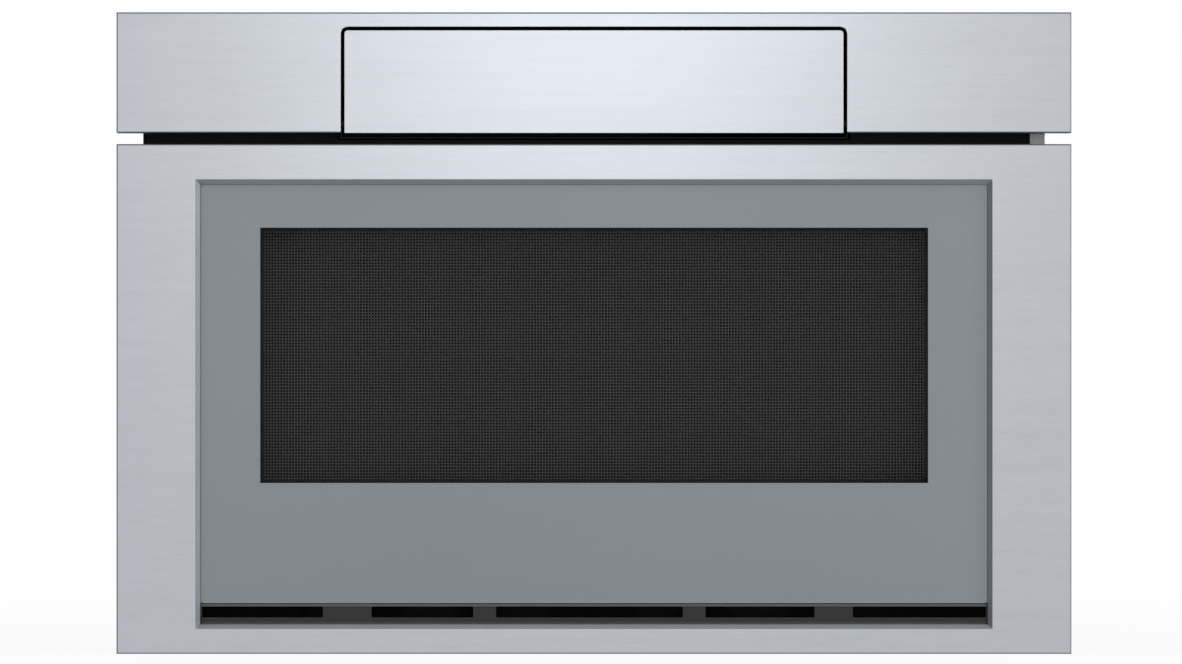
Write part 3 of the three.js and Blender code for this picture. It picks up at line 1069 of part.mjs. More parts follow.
// Black cover that closes the choke groove towards the cavity, with a leg along each wall of the groove.
function chokeCover() {
  const mouth = [CAVITY_FLOOR, CAVITY_ROOF];
  const leg = 1.2;
  const legY = [DOOR_BACK - 8, DOOR_BACK];
  const cap = ringY([both(CHOKE_OUTER_X + 3), grow(mouth, CHOKE_STEP + CHOKE_WIDTH + 3)],
    [both(CAVITY_X), mouth], [DOOR_BACK - 1 + SEAT, DOOR_BACK + 0.8], 4);
  const ring = (x, by) => ringY([both(x + leg), grow(mouth, by + leg)], [both(x), grow(mouth, by)], legY, 4);
  const outerLeg = ring(CHOKE_OUTER_X - SEAT - leg, CHOKE_STEP + CHOKE_WIDTH - SEAT - leg);
  const innerLeg = ring(CHOKE_INNER_X + DOOR_SHEET + SEAT, CHOKE_STEP + DOOR_SHEET + SEAT);
  return join(cap, outerLeg, innerLeg);
}

// The perforated screen, a sheet over the window opening.
function windowScreen() {
  const y = [DOOR_PAN_FRONT - SEAT - SCREEN_SHEET, DOOR_PAN_FRONT - SEAT];
  return extrude("Y", rectangle(both(WINDOW_X + SCREEN_BORDER), grow(WINDOW, SCREEN_BORDER), 3), y);
}

function innerPane() {
  const y = [DOOR_PAN_BACK + SEAT, DOOR_PAN_BACK + SEAT + PANE_THICKNESS];
  return extrude("Y", rectangle(both(WINDOW_X + 6), grow(WINDOW, 6), 3), y);
}

// The ring that holds the glass away from the screen; its lower side is ducted for the air slots.
function glassCarrier() {
  const y = [GLASS_BACK + SEAT, DOOR_PAN_FRONT - SEAT];
  const outer = [both(GLASS_X + 6), [GLASS[0], GLASS[1] + 5]];
  const body = ringY(outer, [both(WINDOW_X + 4), grow(WINDOW, 4)], y, 3);
  const seat = rectangle(both(WINDOW_X + SCREEN_BORDER + SEAT), grow(WINDOW, SCREEN_BORDER + SEAT), 3);
  const screenSeat = extrude("Y", seat, [y[1] - SCREEN_SHEET - SEAT, y[1] + 1]);
  const gutter = ringY([both(GLASS_X - 4), grow(GLASS, -4)], [both(WINDOW_X + 12), grow(WINDOW, 12)],
    [y[0] + 2, y[1] + 1], 3);
  const strutAt = WINDOW_X - 12.2;
  const struts = [-strutAt, 0, strutAt].flatMap((at) => [
    block(around(at, 1.2), y, [GLASS[0], WINDOW[0] - 8]),
    block(around(at, 1.2), y, [WINDOW[1] + 8, GLASS[1]]),
  ]);
  return join(cut(body, screenSeat, gutter), ...struts);
}

function frontGlass() {
  return extrude("Y", rectangle(both(GLASS_X), GLASS, 1.5), [GLASS_FRONT, GLASS_BACK], { edge: 0.5 });
}

// The strip below the glass: five air slots, four bridges, and the duct's lower lip behind them.
function ventGrille() {
  const front = GLASS_FRONT + GRILLE_SETBACK;
  const z = [RECESS[0] + RECESS_BEVEL - GRILLE_TUCK, GLASS[0] - SEAT];
  const strip = extrude("Y", rectangle(both(GLASS_X), z, 0.6), [front, front + GRILLE_WALL]);
  const slots = SLOT_SPANS.map((x) =>
    extrude("Y", rectangle(x, SLOT, SLOT_CORNER), grow([front, front + GRILLE_WALL], 1)));
  const lip = block(both(GLASS_X), [front + 0.5, DOOR_PAN_FRONT - SEAT], [z[0], z[0] + 1.2]);
  return cut(join(strip, lip), ...slots);
}

// Stainless wrapper of the drawer front, with the bevelled recess for the glass and the grille.
function doorSkin() {
  const back = DOOR_BACK - 2;
  const outline = rectangle(both(FRONT_WIDTH / 2), DRAWER_FRONT);
  const outer = extrude("Y", outline, [FACE, back + 3], { edge: SKIN_EDGE });
  const inside = block(both(FRONT_WIDTH / 2 - SKIN), [FACE + SKIN, back + 4], grow(DRAWER_FRONT, -SKIN));
  const trimmed = block(both(FRONT_WIDTH), [back, back + 4], grow(DRAWER_FRONT, 1));
  const lip = ringY([both(RECESS_X + SKIN), grow(RECESS, SKIN)],
    [both(RECESS_X - RECESS_BEVEL - 1), grow(RECESS, -RECESS_BEVEL - 1)], [FACE + SKIN / 2, GLASS_FRONT]);
  const bevel = extrude("Y", rectangle(both(RECESS_X), RECESS), [FACE - 6, GLASS_FRONT],
    { edge: RECESS_BEVEL });
  const through = block(both(RECESS_X - RECESS_BEVEL), [FACE - 1, GLASS_FRONT + 1],
    grow(RECESS, -RECESS_BEVEL));
  return cut(join(cut(outer, inside, trimmed), lip), bevel, through);
}

// ---------------------------------------------------------------- assembly

const model = new THREE.Group();

function put(parent, name, shape, material) {
  const mesh = new THREE.Mesh(geometryOf(shape), material);
  mesh.name = name;
  parent.add(mesh);
  return mesh;
}

// A piece drawn for the right side and its mirror image for the left.
function putPair(parent, name, shape, material) {
  put(parent, "right_" + name, shape, material);
  put(parent, "left_" + name, shape, material).scale.x = -1;
}

function groupAt(x, y, z) {
  const group = new THREE.Group();
  group.position.set(x, y, z);
  model.add(group);
  return group;
}

put(model, "base_pan", basePan(), zincSteel);
putPair(model, "side_panel", sidePanel(), zincSteel);
put(model, "top_cover", topCover(), zincSteel);
put(model, "rear_cover", rearCover(), zincSteel);
put(model, "front_frame", frontFrame(), blackSteel);
put(model, "gap_end_bracket", gapEndBracket(), zincSteel);
put(model, "cord_gland", cordGland(), blackPlastic);

put(model, "cavity_shell", cavityShell(), enamel);
put(model, "stirrer_cover", stirrerCover(), mica);
put(model, "stirrer_motor", stirrerMotor(), zincSteel);
put(model, "waveguide", waveguide(), zincSteel);
put(model, "magnetron_yoke", magnetronYoke(), zincSteel);
put(model, "magnetron_fins", magnetronFins(), aluminium);
put(model, "magnetron_filter_box", filterBox(), zincSteel);
put(groupAt(0, DOME_Y, STIRRER_Z), "stirrer", stirrerFan(), aluminium);

put(model, "transformer_core", transformerCore(), coreSteel);
put(model, "transformer_windings", transformerWindings(), copper);
put(model, "hv_capacitor", hvCapacitor(), aluminium);
put(model, "capacitor_clamp", capacitorClamp(), zincSteel);
put(model, "hv_diode", hvDiode(), blackPlastic);
put(model, "filter_board", filterBoard(), boardGreen);
put(model, "control_board", controlBoard(), boardGreen);
put(model, "oven_lamp", ovenLamp(), whitePlastic);
put(model, "fan_shroud", fanShroud(), greyPlastic);
put(model, "fan_motor", fanMotor(), coreSteel);
put(model, "air_duct", airDuct(), whitePlastic);
put(groupAt(FAN_X, FAN_BLADE_Y, FAN_Z), "fan_blade", fanBlade(), whitePlastic);

put(model, "fascia_skin", fasciaSkin(), stainless);
put(model, "fascia_carrier", fasciaCarrier(), blackPlastic);
putPair(model, "hinge_pin", hingePin(), blackSteel);
const hatch = groupAt(0, HINGE_Y, HINGE_Z);
put(hatch, "hatch_skin", hatchSkin(), stainless);
put(hatch, "hatch_housing", hatchHousing(), blackPlastic);
put(hatch, "control_glass", controlGlass(), blackGlass);
put(hatch, "display_board", displayBoard(), boardGreen);

putPair(model, "outer_rail", outerRail(), slideSteel);
putPair(model, "middle_rail", middleRail(), slideSteel);
putPair(model, "inner_rail", innerRail(), slideSteel);
putPair(model, "side_arm", sideArm(), zincSteel);
put(model, "drive_rack", rack(), nylon);
put(groupAt(PINION_X, PINION_Y, PINION_Z), "drive_pinion", drivePinion(), nylon);
put(model, "motor_bracket", motorBracket(), zincSteel);
put(model, "drawer_gearmotor", gearmotor(), greyPlastic);
put(model, "interlock_bracket", interlockBracket(), zincSteel);
put(model, "interlock_switches", interlockSwitches(), blackPlastic);

put(model, "drawer_tub", drawerTub(), enamel);
put(model, "ceramic_floor", ceramicFloor(), ceramic);
put(model, "door_frame", doorFrame(), blackSteel);
put(model, "choke_cover", chokeCover(), blackPlastic);
put(model, "window_screen", windowScreen(), blackSteel);
put(model, "inner_pane", innerPane(), clearPane);
put(model, "glass_carrier", glassCarrier(), blackPlastic);
put(model, "front_glass", frontGlass(), greyGlass);
put(model, "vent_grille", ventGrille(), blackPlastic);
put(model, "door_skin", doorSkin(), stainless);

export default model;
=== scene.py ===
# %% [markdown]
# # A built-in microwave drawer, dressed in Blender
# This kitchen appliance slides out like a drawer under a worktop. A stainless drawer front holds a
# sunken pane of grey glass with a dark window in it. Above it sits a stainless fascia with a small
# hatch, and behind them stands a sheet-steel case.

import json
import math

import bmesh
import bpy
from mathutils import Matrix, Vector
from mathutils.bvhtree import BVHTree

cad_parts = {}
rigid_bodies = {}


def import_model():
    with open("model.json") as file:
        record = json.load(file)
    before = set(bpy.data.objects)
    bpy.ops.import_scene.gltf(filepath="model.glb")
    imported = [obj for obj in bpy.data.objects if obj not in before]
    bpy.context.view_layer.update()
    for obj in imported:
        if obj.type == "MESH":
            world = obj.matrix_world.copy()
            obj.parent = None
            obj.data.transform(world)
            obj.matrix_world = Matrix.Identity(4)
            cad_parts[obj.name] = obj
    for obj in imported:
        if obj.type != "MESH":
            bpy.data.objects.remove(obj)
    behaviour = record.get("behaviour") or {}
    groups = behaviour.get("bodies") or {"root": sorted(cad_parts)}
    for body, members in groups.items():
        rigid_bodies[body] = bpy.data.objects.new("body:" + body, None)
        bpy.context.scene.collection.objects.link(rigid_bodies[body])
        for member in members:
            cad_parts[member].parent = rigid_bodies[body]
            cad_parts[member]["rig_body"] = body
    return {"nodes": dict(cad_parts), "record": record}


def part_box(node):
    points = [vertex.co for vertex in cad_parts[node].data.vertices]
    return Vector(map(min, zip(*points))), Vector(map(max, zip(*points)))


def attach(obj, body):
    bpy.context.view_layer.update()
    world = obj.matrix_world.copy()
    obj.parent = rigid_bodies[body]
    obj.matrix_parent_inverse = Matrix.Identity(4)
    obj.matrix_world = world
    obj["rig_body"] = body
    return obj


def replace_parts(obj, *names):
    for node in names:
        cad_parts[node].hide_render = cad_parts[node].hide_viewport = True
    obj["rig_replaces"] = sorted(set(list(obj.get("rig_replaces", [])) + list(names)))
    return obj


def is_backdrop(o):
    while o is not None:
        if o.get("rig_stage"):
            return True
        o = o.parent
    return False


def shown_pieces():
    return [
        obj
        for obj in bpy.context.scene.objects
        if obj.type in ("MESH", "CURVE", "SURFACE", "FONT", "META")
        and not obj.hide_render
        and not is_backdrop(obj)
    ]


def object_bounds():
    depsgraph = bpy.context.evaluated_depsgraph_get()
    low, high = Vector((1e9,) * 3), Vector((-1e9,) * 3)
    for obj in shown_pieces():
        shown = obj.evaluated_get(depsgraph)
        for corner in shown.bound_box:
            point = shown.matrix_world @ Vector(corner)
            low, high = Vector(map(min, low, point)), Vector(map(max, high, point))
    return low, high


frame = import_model()
cad_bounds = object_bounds()
MILLIMETRE = 0.001

# %% [markdown]
# ## The camera
# The photograph looks straight at the front, from so far away that the sunken parts show almost no
# perspective. The front's left and right edges in the picture give metres per pixel, and that gives
# the camera's place and its lens. A long lens from 8 m keeps the edges of the recess as narrow as
# they are in the photograph.

# %% Camera
PHOTO_WIDTH = 1182
PHOTO_HEIGHT = 664
FRONT_LEFT = 116.4  # pixels in the photograph
FRONT_RIGHT = 1071.5
FRONT_BOTTOM = 653.9
CAMERA_DISTANCE = 8.0

front_low, front_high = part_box("door_skin")
METRES_PER_PIXEL = (front_high.x - front_low.x) / (FRONT_RIGHT - FRONT_LEFT)


def photo_point(across, down):
    """x and z, in metres, of a pixel of the photograph on the plane of the front."""
    x = (across - (FRONT_LEFT + FRONT_RIGHT) / 2) * METRES_PER_PIXEL
    return x, front_low.z + (FRONT_BOTTOM - down) * METRES_PER_PIXEL


camera = bpy.data.objects.new("camera", bpy.data.cameras.new("camera"))
bpy.context.scene.collection.objects.link(camera)
middle_x, middle_z = photo_point(PHOTO_WIDTH / 2, PHOTO_HEIGHT / 2)
camera.location = (middle_x, front_low.y - CAMERA_DISTANCE, middle_z)
camera.rotation_euler = (math.radians(90), 0, 0)
camera.data.lens = camera.data.sensor_width * CAMERA_DISTANCE / (PHOTO_WIDTH * METRES_PER_PIXEL)
camera.data.clip_end = 100
bpy.context.scene.camera = camera
print(f"camera: {METRES_PER_PIXEL * 1000:.3f} mm per pixel, lens {camera.data.lens:.0f} mm")

# %% [markdown]
# ## Writing nodes as sums
# A finish is easier to read as `0.3 + 0.1 * grain` than as a page of node links. `Wire` stands for
# one output socket and turns Python's operators into Math nodes. `Sketch` adds any other node in one
# call: first its settings, then the values or wires of its sockets.

# %% Wire
class Wire:
    """One output socket, with arithmetic that adds Math nodes."""

    def __init__(self, sketch, socket):
        self.sketch = sketch
        self.socket = socket

    def math(self, operation, first, second=0.0):
        return self.sketch.node("ShaderNodeMath", {"operation": operation}, {0: first, 1: second})

    def __add__(self, other):
        return self.math("ADD", self, other)

    def __sub__(self, other):
        return self.math("SUBTRACT", self, other)

    def __rsub__(self, other):
        return self.math("SUBTRACT", other, self)

    def __mul__(self, other):
        return self.math("MULTIPLY", self, other)

    def above(self, level):
        return self.math("GREATER_THAN", self, level)

    def fraction(self):
        return self.math("FRACT", self)

    def at_most(self, level):
        return self.math("MINIMUM", self, level)

    def clamped(self):
        return self.math("MAXIMUM", self.at_most(1.0), 0.0)

    __radd__ = __add__
    __rmul__ = __mul__


print("a wire adds nodes for + - * and for above, fraction, at_most and clamped")

# %% Sketch
class Sketch:
    """A node tree that is written as expressions."""

    def __init__(self, tree):
        self.tree = tree
        tree.nodes.clear()

    def node(self, kind, settings=None, inputs=None, output=0):
        made = self.tree.nodes.new(kind)
        for name, value in (settings or {}).items():
            setattr(made, name, value)
        for name, value in (inputs or {}).items():
            self.feed(made.inputs[name], value)
        return Wire(self, made.outputs[output])

    def feed(self, socket, value):
        if isinstance(value, Wire):
            self.tree.links.new(value.socket, socket)
        else:
            socket.default_value = value


print("a sketch can make and feed any node")

# %% [markdown]
# ## The studio
# The photograph is a catalogue picture on pure white, lit softly from the front and above. The world
# is white for the camera and in reflections, and weaker as a lamp, so that colours stay as written.
# A small soft lamp before the fascia makes the bright pool on the brushed steel, a wide one hangs
# above, and a tall one on the right lifts the edges that face it. To the camera the floor is nearly
# all plain white, which leaves a soft shadow near the appliance, and wholly white far away, where it
# has to meet the world.

# %% Studio
SKY_FILL = 0.75  # strength of the white world as a lamp
FLOOR_GAP = 0.2 * MILLIMETRE
FLOOR_SIZE = 60
FLOOR_THICKNESS = 0.05
FLOOR_SHARE = 0.9  # how much of the near floor is plain white to the camera
SHADOW_REACH = 1.0  # metres over which the floor turns wholly white


def seen_directly(sketch):
    """1 for rays from the camera or off a glossy or clear surface."""
    rays = [
        sketch.node("ShaderNodeLightPath", output=name)
        for name in ("Is Camera Ray", "Is Glossy Ray", "Is Transmission Ray")
    ]
    return (rays[0] + rays[1] + rays[2]).at_most(1.0)


def surface_output(sketch, kind, light):
    """Ends a sketch in its output node."""
    output = sketch.tree.nodes.new(kind)
    sketch.feed(output.inputs["Surface"], light)


bpy.context.scene.view_settings.view_transform = "Standard"
world = bpy.data.worlds.new("studio")
world.use_nodes = True
bpy.context.scene.world = world
sky = Sketch(world.node_tree)
level = SKY_FILL + (1 - SKY_FILL) * seen_directly(sky)
sky_light = sky.node("ShaderNodeBackground", None, {"Color": (1, 1, 1, 1), "Strength": level})
surface_output(sky, "ShaderNodeOutputWorld", sky_light)

floor_finish = bpy.data.materials.new("studio_floor")
floor_finish.use_nodes = True
ground = Sketch(floor_finish.node_tree)
matt = ground.node("ShaderNodeBsdfDiffuse", None, {"Color": (0.86, 0.86, 0.86, 1)})
lit = ground.node("ShaderNodeEmission", None, {"Color": (1, 1, 1, 1), "Strength": 1.0})
spot = ground.node("ShaderNodeTexCoord", output="Object")
away = ground.node("ShaderNodeVectorMath", {"operation": "LENGTH"}, {0: spot}, output=1)
far_share = ((away - SHADOW_REACH) * (1 / SHADOW_REACH)).clamped()
share = (FLOOR_SHARE + (1 - FLOOR_SHARE) * far_share) * seen_directly(ground)
both_ways = ground.node("ShaderNodeMixShader", None, {0: share, 1: matt, 2: lit})
surface_output(ground, "ShaderNodeOutputMaterial", both_ways)
print("world and floor finish:", world.name, floor_finish.name)

# %% Floor and shelf
SHELF_SETBACK = 0.006  # the board's front edge lies this far behind the pan's


def add_block(builder, x, y, z, base=Matrix()):
    """Adds a block that fills the three spans, laid out on `base`."""
    size = Matrix.Diagonal((x[1] - x[0], y[1] - y[0], z[1] - z[0], 1))
    centre = Matrix.Translation((sum(x) / 2, sum(y) / 2, sum(z) / 2))
    bmesh.ops.create_cube(builder, size=1, matrix=base @ centre @ size)


def built(name, builder, materials):
    """An object from the bmesh, with a material slot for each material."""
    mesh = bpy.data.meshes.new(name)
    builder.to_mesh(mesh)
    builder.free()
    for material in materials:
        mesh.materials.append(material)
    return linked(name, mesh)


def linked(name, data):
    """An object in the scene that holds the mesh, the lamp or the lettering."""
    made = bpy.data.objects.new(name, data)
    bpy.context.scene.collection.objects.link(made)
    return made


floor_z = cad_bounds[0].z - FLOOR_GAP
floor_span = (-FLOOR_SIZE / 2, FLOOR_SIZE / 2)
pan_low, pan_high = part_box("base_pan")
STANDS = {
    "studio_floor": (floor_span, floor_span, (floor_z - FLOOR_THICKNESS, floor_z)),
    "shelf_board": (
        (pan_low.x, pan_high.x), (pan_low.y + SHELF_SETBACK, pan_high.y), (floor_z, pan_low.z - FLOOR_GAP)
    ),
}
for name, spans in STANDS.items():
    builder = bmesh.new()
    add_block(builder, *spans)
    built(name, builder, [floor_finish])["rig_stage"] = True
print(f"floor at {floor_z * 1000:.1f} mm, with a board for the case to stand on")

# %% Lamps
def lamp(name, place, aim, size, power):
    """A soft rectangular lamp that points at `aim`."""
    light = bpy.data.lights.new(name, "AREA")
    light.shape = "RECTANGLE"
    light.size = size[0]
    light.size_y = size[1]
    light.energy = power
    made = linked(name, light)
    made.location = place
    made.rotation_euler = (Vector(aim) - Vector(place)).to_track_quat("-Z", "Y").to_euler()
    made.visible_camera = False


lamp("key", place=(0.0, -1.32, 0.43), aim=(0, -0.33, 0.37), size=(0.30, 0.20), power=0.70)
lamp("top", place=(0.0, -0.9, 2.2), aim=(0, -0.1, 0.2), size=(1.8, 1.2), power=7)
lamp("right_strip", place=(1.7, -0.75, 0.35), aim=(0, -0.3, 0.2), size=(0.3, 1.2), power=5)
lamp("back", place=(0.0, 2.4, 1.3), aim=(0, 0.2, 0.2), size=(1.6, 1.0), power=7)

# %% [markdown]
# ## A finish and its patterns
# Each material is one Principled shader with its pattern read from Object coordinates, in metres, so
# that a pattern keeps its real scale and stays on the piece as it moves. Four patterns cover this
# object: cloudy or streaked noise, crystal cells, parallel lines, and a relief that bends the light.

# %% Finish
class Finish(Sketch):
    """A named material for one of the record's material slots."""

    def __init__(self, name, slot):
        self.material = bpy.data.materials.new(name)
        self.material.use_nodes = True
        super().__init__(self.material.node_tree)
        self.slot = slot
        self.shader = self.tree.nodes.new("ShaderNodeBsdfPrincipled")
        surface_output(self, "ShaderNodeOutputMaterial", Wire(self, self.shader.outputs[0]))

    def __str__(self):
        return self.material.name

    def give(self, sockets):
        for name, value in sockets.items():
            self.feed(self.shader.inputs[name], value)
        return self

    def place(self, per_metre):
        """The point, scaled by one number or by three."""
        scale = per_metre if isinstance(per_metre, tuple) else (per_metre, per_metre, per_metre)
        point = self.node("ShaderNodeTexCoord", output="Object")
        return self.node("ShaderNodeVectorMath", {"operation": "MULTIPLY"}, {0: point, 1: scale})

    def noise(self, per_metre, detail=2.0):
        settings = {"Vector": self.place(per_metre), "Scale": 1.0, "Detail": detail}
        return self.node("ShaderNodeTexNoise", None, settings, output="Fac")

    def cells(self, per_metre):
        settings = {"Vector": self.place(per_metre), "Scale": 1.0}
        colour = self.node("ShaderNodeTexVoronoi", None, settings, output="Color")
        return self.node("ShaderNodeSeparateColor", None, {0: colour})

    def along(self, axis):
        point = self.node("ShaderNodeTexCoord", output="Object")
        return self.node("ShaderNodeSeparateXYZ", None, {0: point}, output=axis)

    def lines(self, axis, pitch):
        """A ramp from 0 to 1 that starts again at each pitch along X, Y or Z."""
        return (self.along(axis) * (1 / pitch)).fraction()

    def between(self, first, second, share):
        """Mixes two colours, each written out or made by other nodes."""
        ends = [end if isinstance(end, Wire) else (*end, 1) for end in (first, second)]
        inputs = {0: share, 6: ends[0], 7: ends[1]}
        return self.node("ShaderNodeMix", {"data_type": "RGBA"}, inputs, output=2)

    def shades(self, colour, spread, share):
        """The colour, from darker to lighter by `spread` as `share` goes from 0 to 1."""
        darker = [channel * (1 - spread) for channel in colour]
        lighter = [min(1.0, channel * (1 + spread)) for channel in colour]
        return self.between(darker, lighter, share)

    def relief(self, height, depth, strength=1.0):
        inputs = {"Strength": strength, "Distance": depth, "Height": height}
        return self.node("ShaderNodeBump", None, inputs)


print("finish class is ready")

# %% [markdown]
# ## Stainless steel
# The front is stainless sheet, brushed from side to side. Under a lens that is thousands of fine
# scratches, each a few millimetres long and a tenth of one high. Noise stretched along X gives them:
# it shades the metal by a few percent, changes its roughness, and tilts the light by a trace of
# relief. The rims are darker copies of the same steel, painted shade, and least dark on the right,
# where the tall lamp stands. Each slope of the recess is a darker copy too, with its own tone by the
# side it faces: painted shade.

# %% Brushed stainless
RIM_ROUGHNESS = 0.40
SLOPE_ROUGHNESS = 0.34


def brushed_stainless(name, colour, roughness):
    finish = Finish(name, "stainless")
    scratches = finish.noise((60, 1300, 1600), detail=3)
    bands = finish.noise((9, 160, 210), detail=2)
    clouds = finish.noise(14, detail=2)
    grain = 0.6 * scratches + 0.25 * bands + 0.15 * clouds
    return finish.give({
        "Base Color": finish.shades(colour, 0.16, grain),
        "Metallic": 1.0,
        "Roughness": roughness - 0.05 + 0.1 * scratches,
        "Normal": finish.relief(scratches, 0.00002, 0.35),
    })


stainless = brushed_stainless("brushed_stainless", (0.452, 0.470, 0.506), 0.36)
# Darker copies of the same steel for the rims: painted shade, darkest on the chamfers that face up and
# least dark on those that face right, towards the tall lamp.
stainless_rim = brushed_stainless("stainless_rim", (0.145, 0.152, 0.163), RIM_ROUGHNESS)
painted_shade_top_edge = brushed_stainless("stainless_upper_rim", (0.085, 0.087, 0.092), RIM_ROUGHNESS)
painted_shade_right_edge = brushed_stainless("stainless_right_rim", (0.205, 0.215, 0.228), RIM_ROUGHNESS)
# The slopes' colours are painted shade: each side of the recess is darker than the steel's own, by its own
# amount for the way it faces the lamps.
SLOPE_PAINTED_SHADES = {
    "left": (0.212, 0.228, 0.250),
    "right": (0.142, 0.156, 0.170),
    "upper": (0.225, 0.248, 0.268),
    "lower": (0.162, 0.175, 0.183),
}
SLOPES = {
    side: brushed_stainless(f"stainless_{side}_slope", colour, SLOPE_ROUGHNESS)
    for side, colour in SLOPE_PAINTED_SHADES.items()
}
print("stainless:", stainless, stainless_rim, painted_shade_top_edge, painted_shade_right_edge, *SLOPES.values())

# %% [markdown]
# ## Sheet steel: zinc, black enamel, grey enamel
# The case is galvanised sheet, whose zinc froze in flat crystals called spangle: a Voronoi pattern
# gives each crystal its own grey and its own gloss. The frame behind the front is enamelled black,
# with the faint orange peel of a sprayed coat. The oven cavity is grey enamel with fine flecks.

# %% Sheet steel finishes
def spangled_zinc(name, colour):
    finish = Finish(name, "zinc_steel")
    crystals = finish.cells(110)
    haze = finish.noise(30, detail=4)
    frost = 0.7 * crystals + 0.3 * haze
    return finish.give({
        "Base Color": finish.shades(colour, 0.16, frost),
        "Metallic": 1.0,
        "Roughness": 0.34 + 0.16 * frost,
        "Normal": finish.relief(finish.noise(900), 0.00002, 0.3),
    })


def black_enamel(name, colour, shine):
    finish = Finish(name, "black_steel")
    peel = finish.noise(420, detail=1)
    return finish.give({
        "Base Color": finish.shades(colour, 0.25, finish.noise(60)),
        "Specular IOR Level": shine,
        "Roughness": 0.42 + 0.12 * peel,
        "Normal": finish.relief(peel, 0.00004, 0.4),
    })


def fleck_enamel():
    finish = Finish("fleck_enamel", "enamel")
    flecks = finish.noise(1500, detail=1).above(0.66)
    tone = finish.shades((0.235, 0.242, 0.25), 0.1, finish.noise(25, detail=3))
    return finish.give({
        "Base Color": finish.between(tone, (0.62, 0.63, 0.64), 0.55 * flecks),
        "Roughness": 0.3 + 0.12 * finish.noise(200),
        "Coat Weight": 0.25,
        "Normal": finish.relief(finish.noise(350), 0.00003, 0.35),
    })


zinc = spangled_zinc("spangled_zinc", (0.43, 0.445, 0.455))
# A darker copy of the zinc: painted shade for the end bracket deep in the gap.
dull_zinc = spangled_zinc("dull_zinc", (0.34, 0.35, 0.36))
black = black_enamel("black_enamel", (0.0070, 0.0068, 0.0070), 0.14)
# A darker copy of the black enamel: painted shade for the slots and the duct behind the air strip.
black_painted_shade = black_enamel("duct_enamel", (0.0012, 0.0012, 0.0013), 0.04)
enamel = fleck_enamel()
print("sheet steel:", zinc, dull_zinc, black, black_painted_shade, enamel)

# %% [markdown]
# ## Metals inside
# The slides are bright zinc-plated steel that was drawn through rollers, so its lines run front to
# back. The magnetron's fins are mill-finish aluminium. The transformer's core is a stack of
# varnished half-millimetre plates, and its coils are lacquered copper wire, both parallel lines.

# %% Metal finishes
def drawn_steel():
    finish = Finish("drawn_slide_steel", "slide_steel")
    lines = finish.noise((900, 25, 900), detail=2)
    return finish.give({
        "Base Color": finish.shades((0.56, 0.585, 0.60), 0.14, lines),
        "Metallic": 1.0,
        "Roughness": 0.22 + 0.16 * lines,
        "Normal": finish.relief(lines, 0.00002, 0.3),
    })


def mill_aluminium():
    finish = Finish("mill_aluminium", "aluminium")
    lines = finish.noise((30, 700, 700), detail=2)
    return finish.give({
        "Base Color": finish.shades((0.68, 0.69, 0.70), 0.1, lines),
        "Metallic": 1.0,
        "Roughness": 0.3 + 0.14 * lines,
        "Normal": finish.relief(lines, 0.00002, 0.25),
    })


def laminated_core():
    finish = Finish("laminated_core", "core_steel")
    plates = finish.lines("Y", 0.5 * MILLIMETRE)
    edge = (plates - 0.5) * (plates - 0.5) * 4
    varnish = finish.noise(80, detail=4)
    return finish.give({
        "Base Color": finish.shades((0.075, 0.066, 0.06), 0.5, 0.6 * edge + 0.4 * varnish),
        "Metallic": 0.5,
        "Roughness": 0.38 + 0.2 * varnish,
        "Normal": finish.relief(edge, 0.0001, 0.6),
    })


def copper_winding():
    finish = Finish("copper_winding", "copper")
    turns = finish.lines("Z", 1.1 * MILLIMETRE)
    crown = 4 * turns * (1 - turns)
    return finish.give({
        # The colour is darker in the grooves between turns and lighter on their crowns: painted shade and
        # painted highlight.
        "Base Color": finish.between((0.16, 0.055, 0.022), (0.62, 0.26, 0.11), crown),
        "Metallic": 0.9,
        "Roughness": 0.42 - 0.14 * crown,
        "Coat Weight": 0.4,
        "Normal": finish.relief(crown, 0.0004, 0.8),
    })


slide = drawn_steel()
aluminium = mill_aluminium()
core = laminated_core()
copper = copper_winding()
print("metals:", slide, aluminium, core, copper)

# %% [markdown]
# ## Plastics, mica, ceramic and circuit board
# Moulded plastic has a fine even grain from its etched mould, so one function makes all of it, with
# its own colour and gloss. The stirrer's cover is pressed mica, flaky and pearly. The tub's floor is
# smooth white glass ceramic, and a circuit board is green lacquer over faint copper tracks.

# %% Moulded and mineral finishes
def moulded(name, slot, colour, roughness):
    finish = Finish(name, slot)
    grain = finish.noise(1400, detail=1)
    flow = finish.noise(22, detail=3)
    return finish.give({
        "Base Color": finish.shades(colour, 0.12, 0.5 * grain + 0.5 * flow),
        "Specular IOR Level": 0.4,
        "Roughness": roughness - 0.06 + 0.12 * grain,
        "Normal": finish.relief(grain, 0.00003, 0.4),
    })


def shaded_plastic(name, colour):
    """Black plastic made darker than its own colour, painted shade for the dark of a duct, and it shines
    less.
    """
    finish = Finish(name, "black_plastic")
    grain = finish.noise(1400, detail=1)
    return finish.give({
        "Base Color": finish.shades(colour, 0.12, grain),
        "Specular IOR Level": 0.1,
        "Roughness": 0.62 + 0.1 * grain,
        "Normal": finish.relief(grain, 0.00003, 0.4),
    })


def pressed_mica():
    finish = Finish("pressed_mica", "mica")
    flakes = finish.cells(260)
    veins = finish.noise(60, detail=5)
    return finish.give({
        "Base Color": finish.shades((0.50, 0.44, 0.32), 0.28, 0.55 * flakes + 0.45 * veins),
        "Roughness": 0.3 + 0.3 * flakes,
        "Coat Weight": 0.2,
        "Normal": finish.relief(flakes, 0.00005, 0.35),
    })


def glass_ceramic():
    finish = Finish("glass_ceramic", "ceramic")
    milk = finish.noise(40, detail=4)
    return finish.give({
        "Base Color": finish.shades((0.70, 0.69, 0.655), 0.05, milk),
        "Roughness": 0.12 + 0.1 * milk,
        "Normal": finish.relief(finish.noise(500), 0.00001, 0.3),
    })


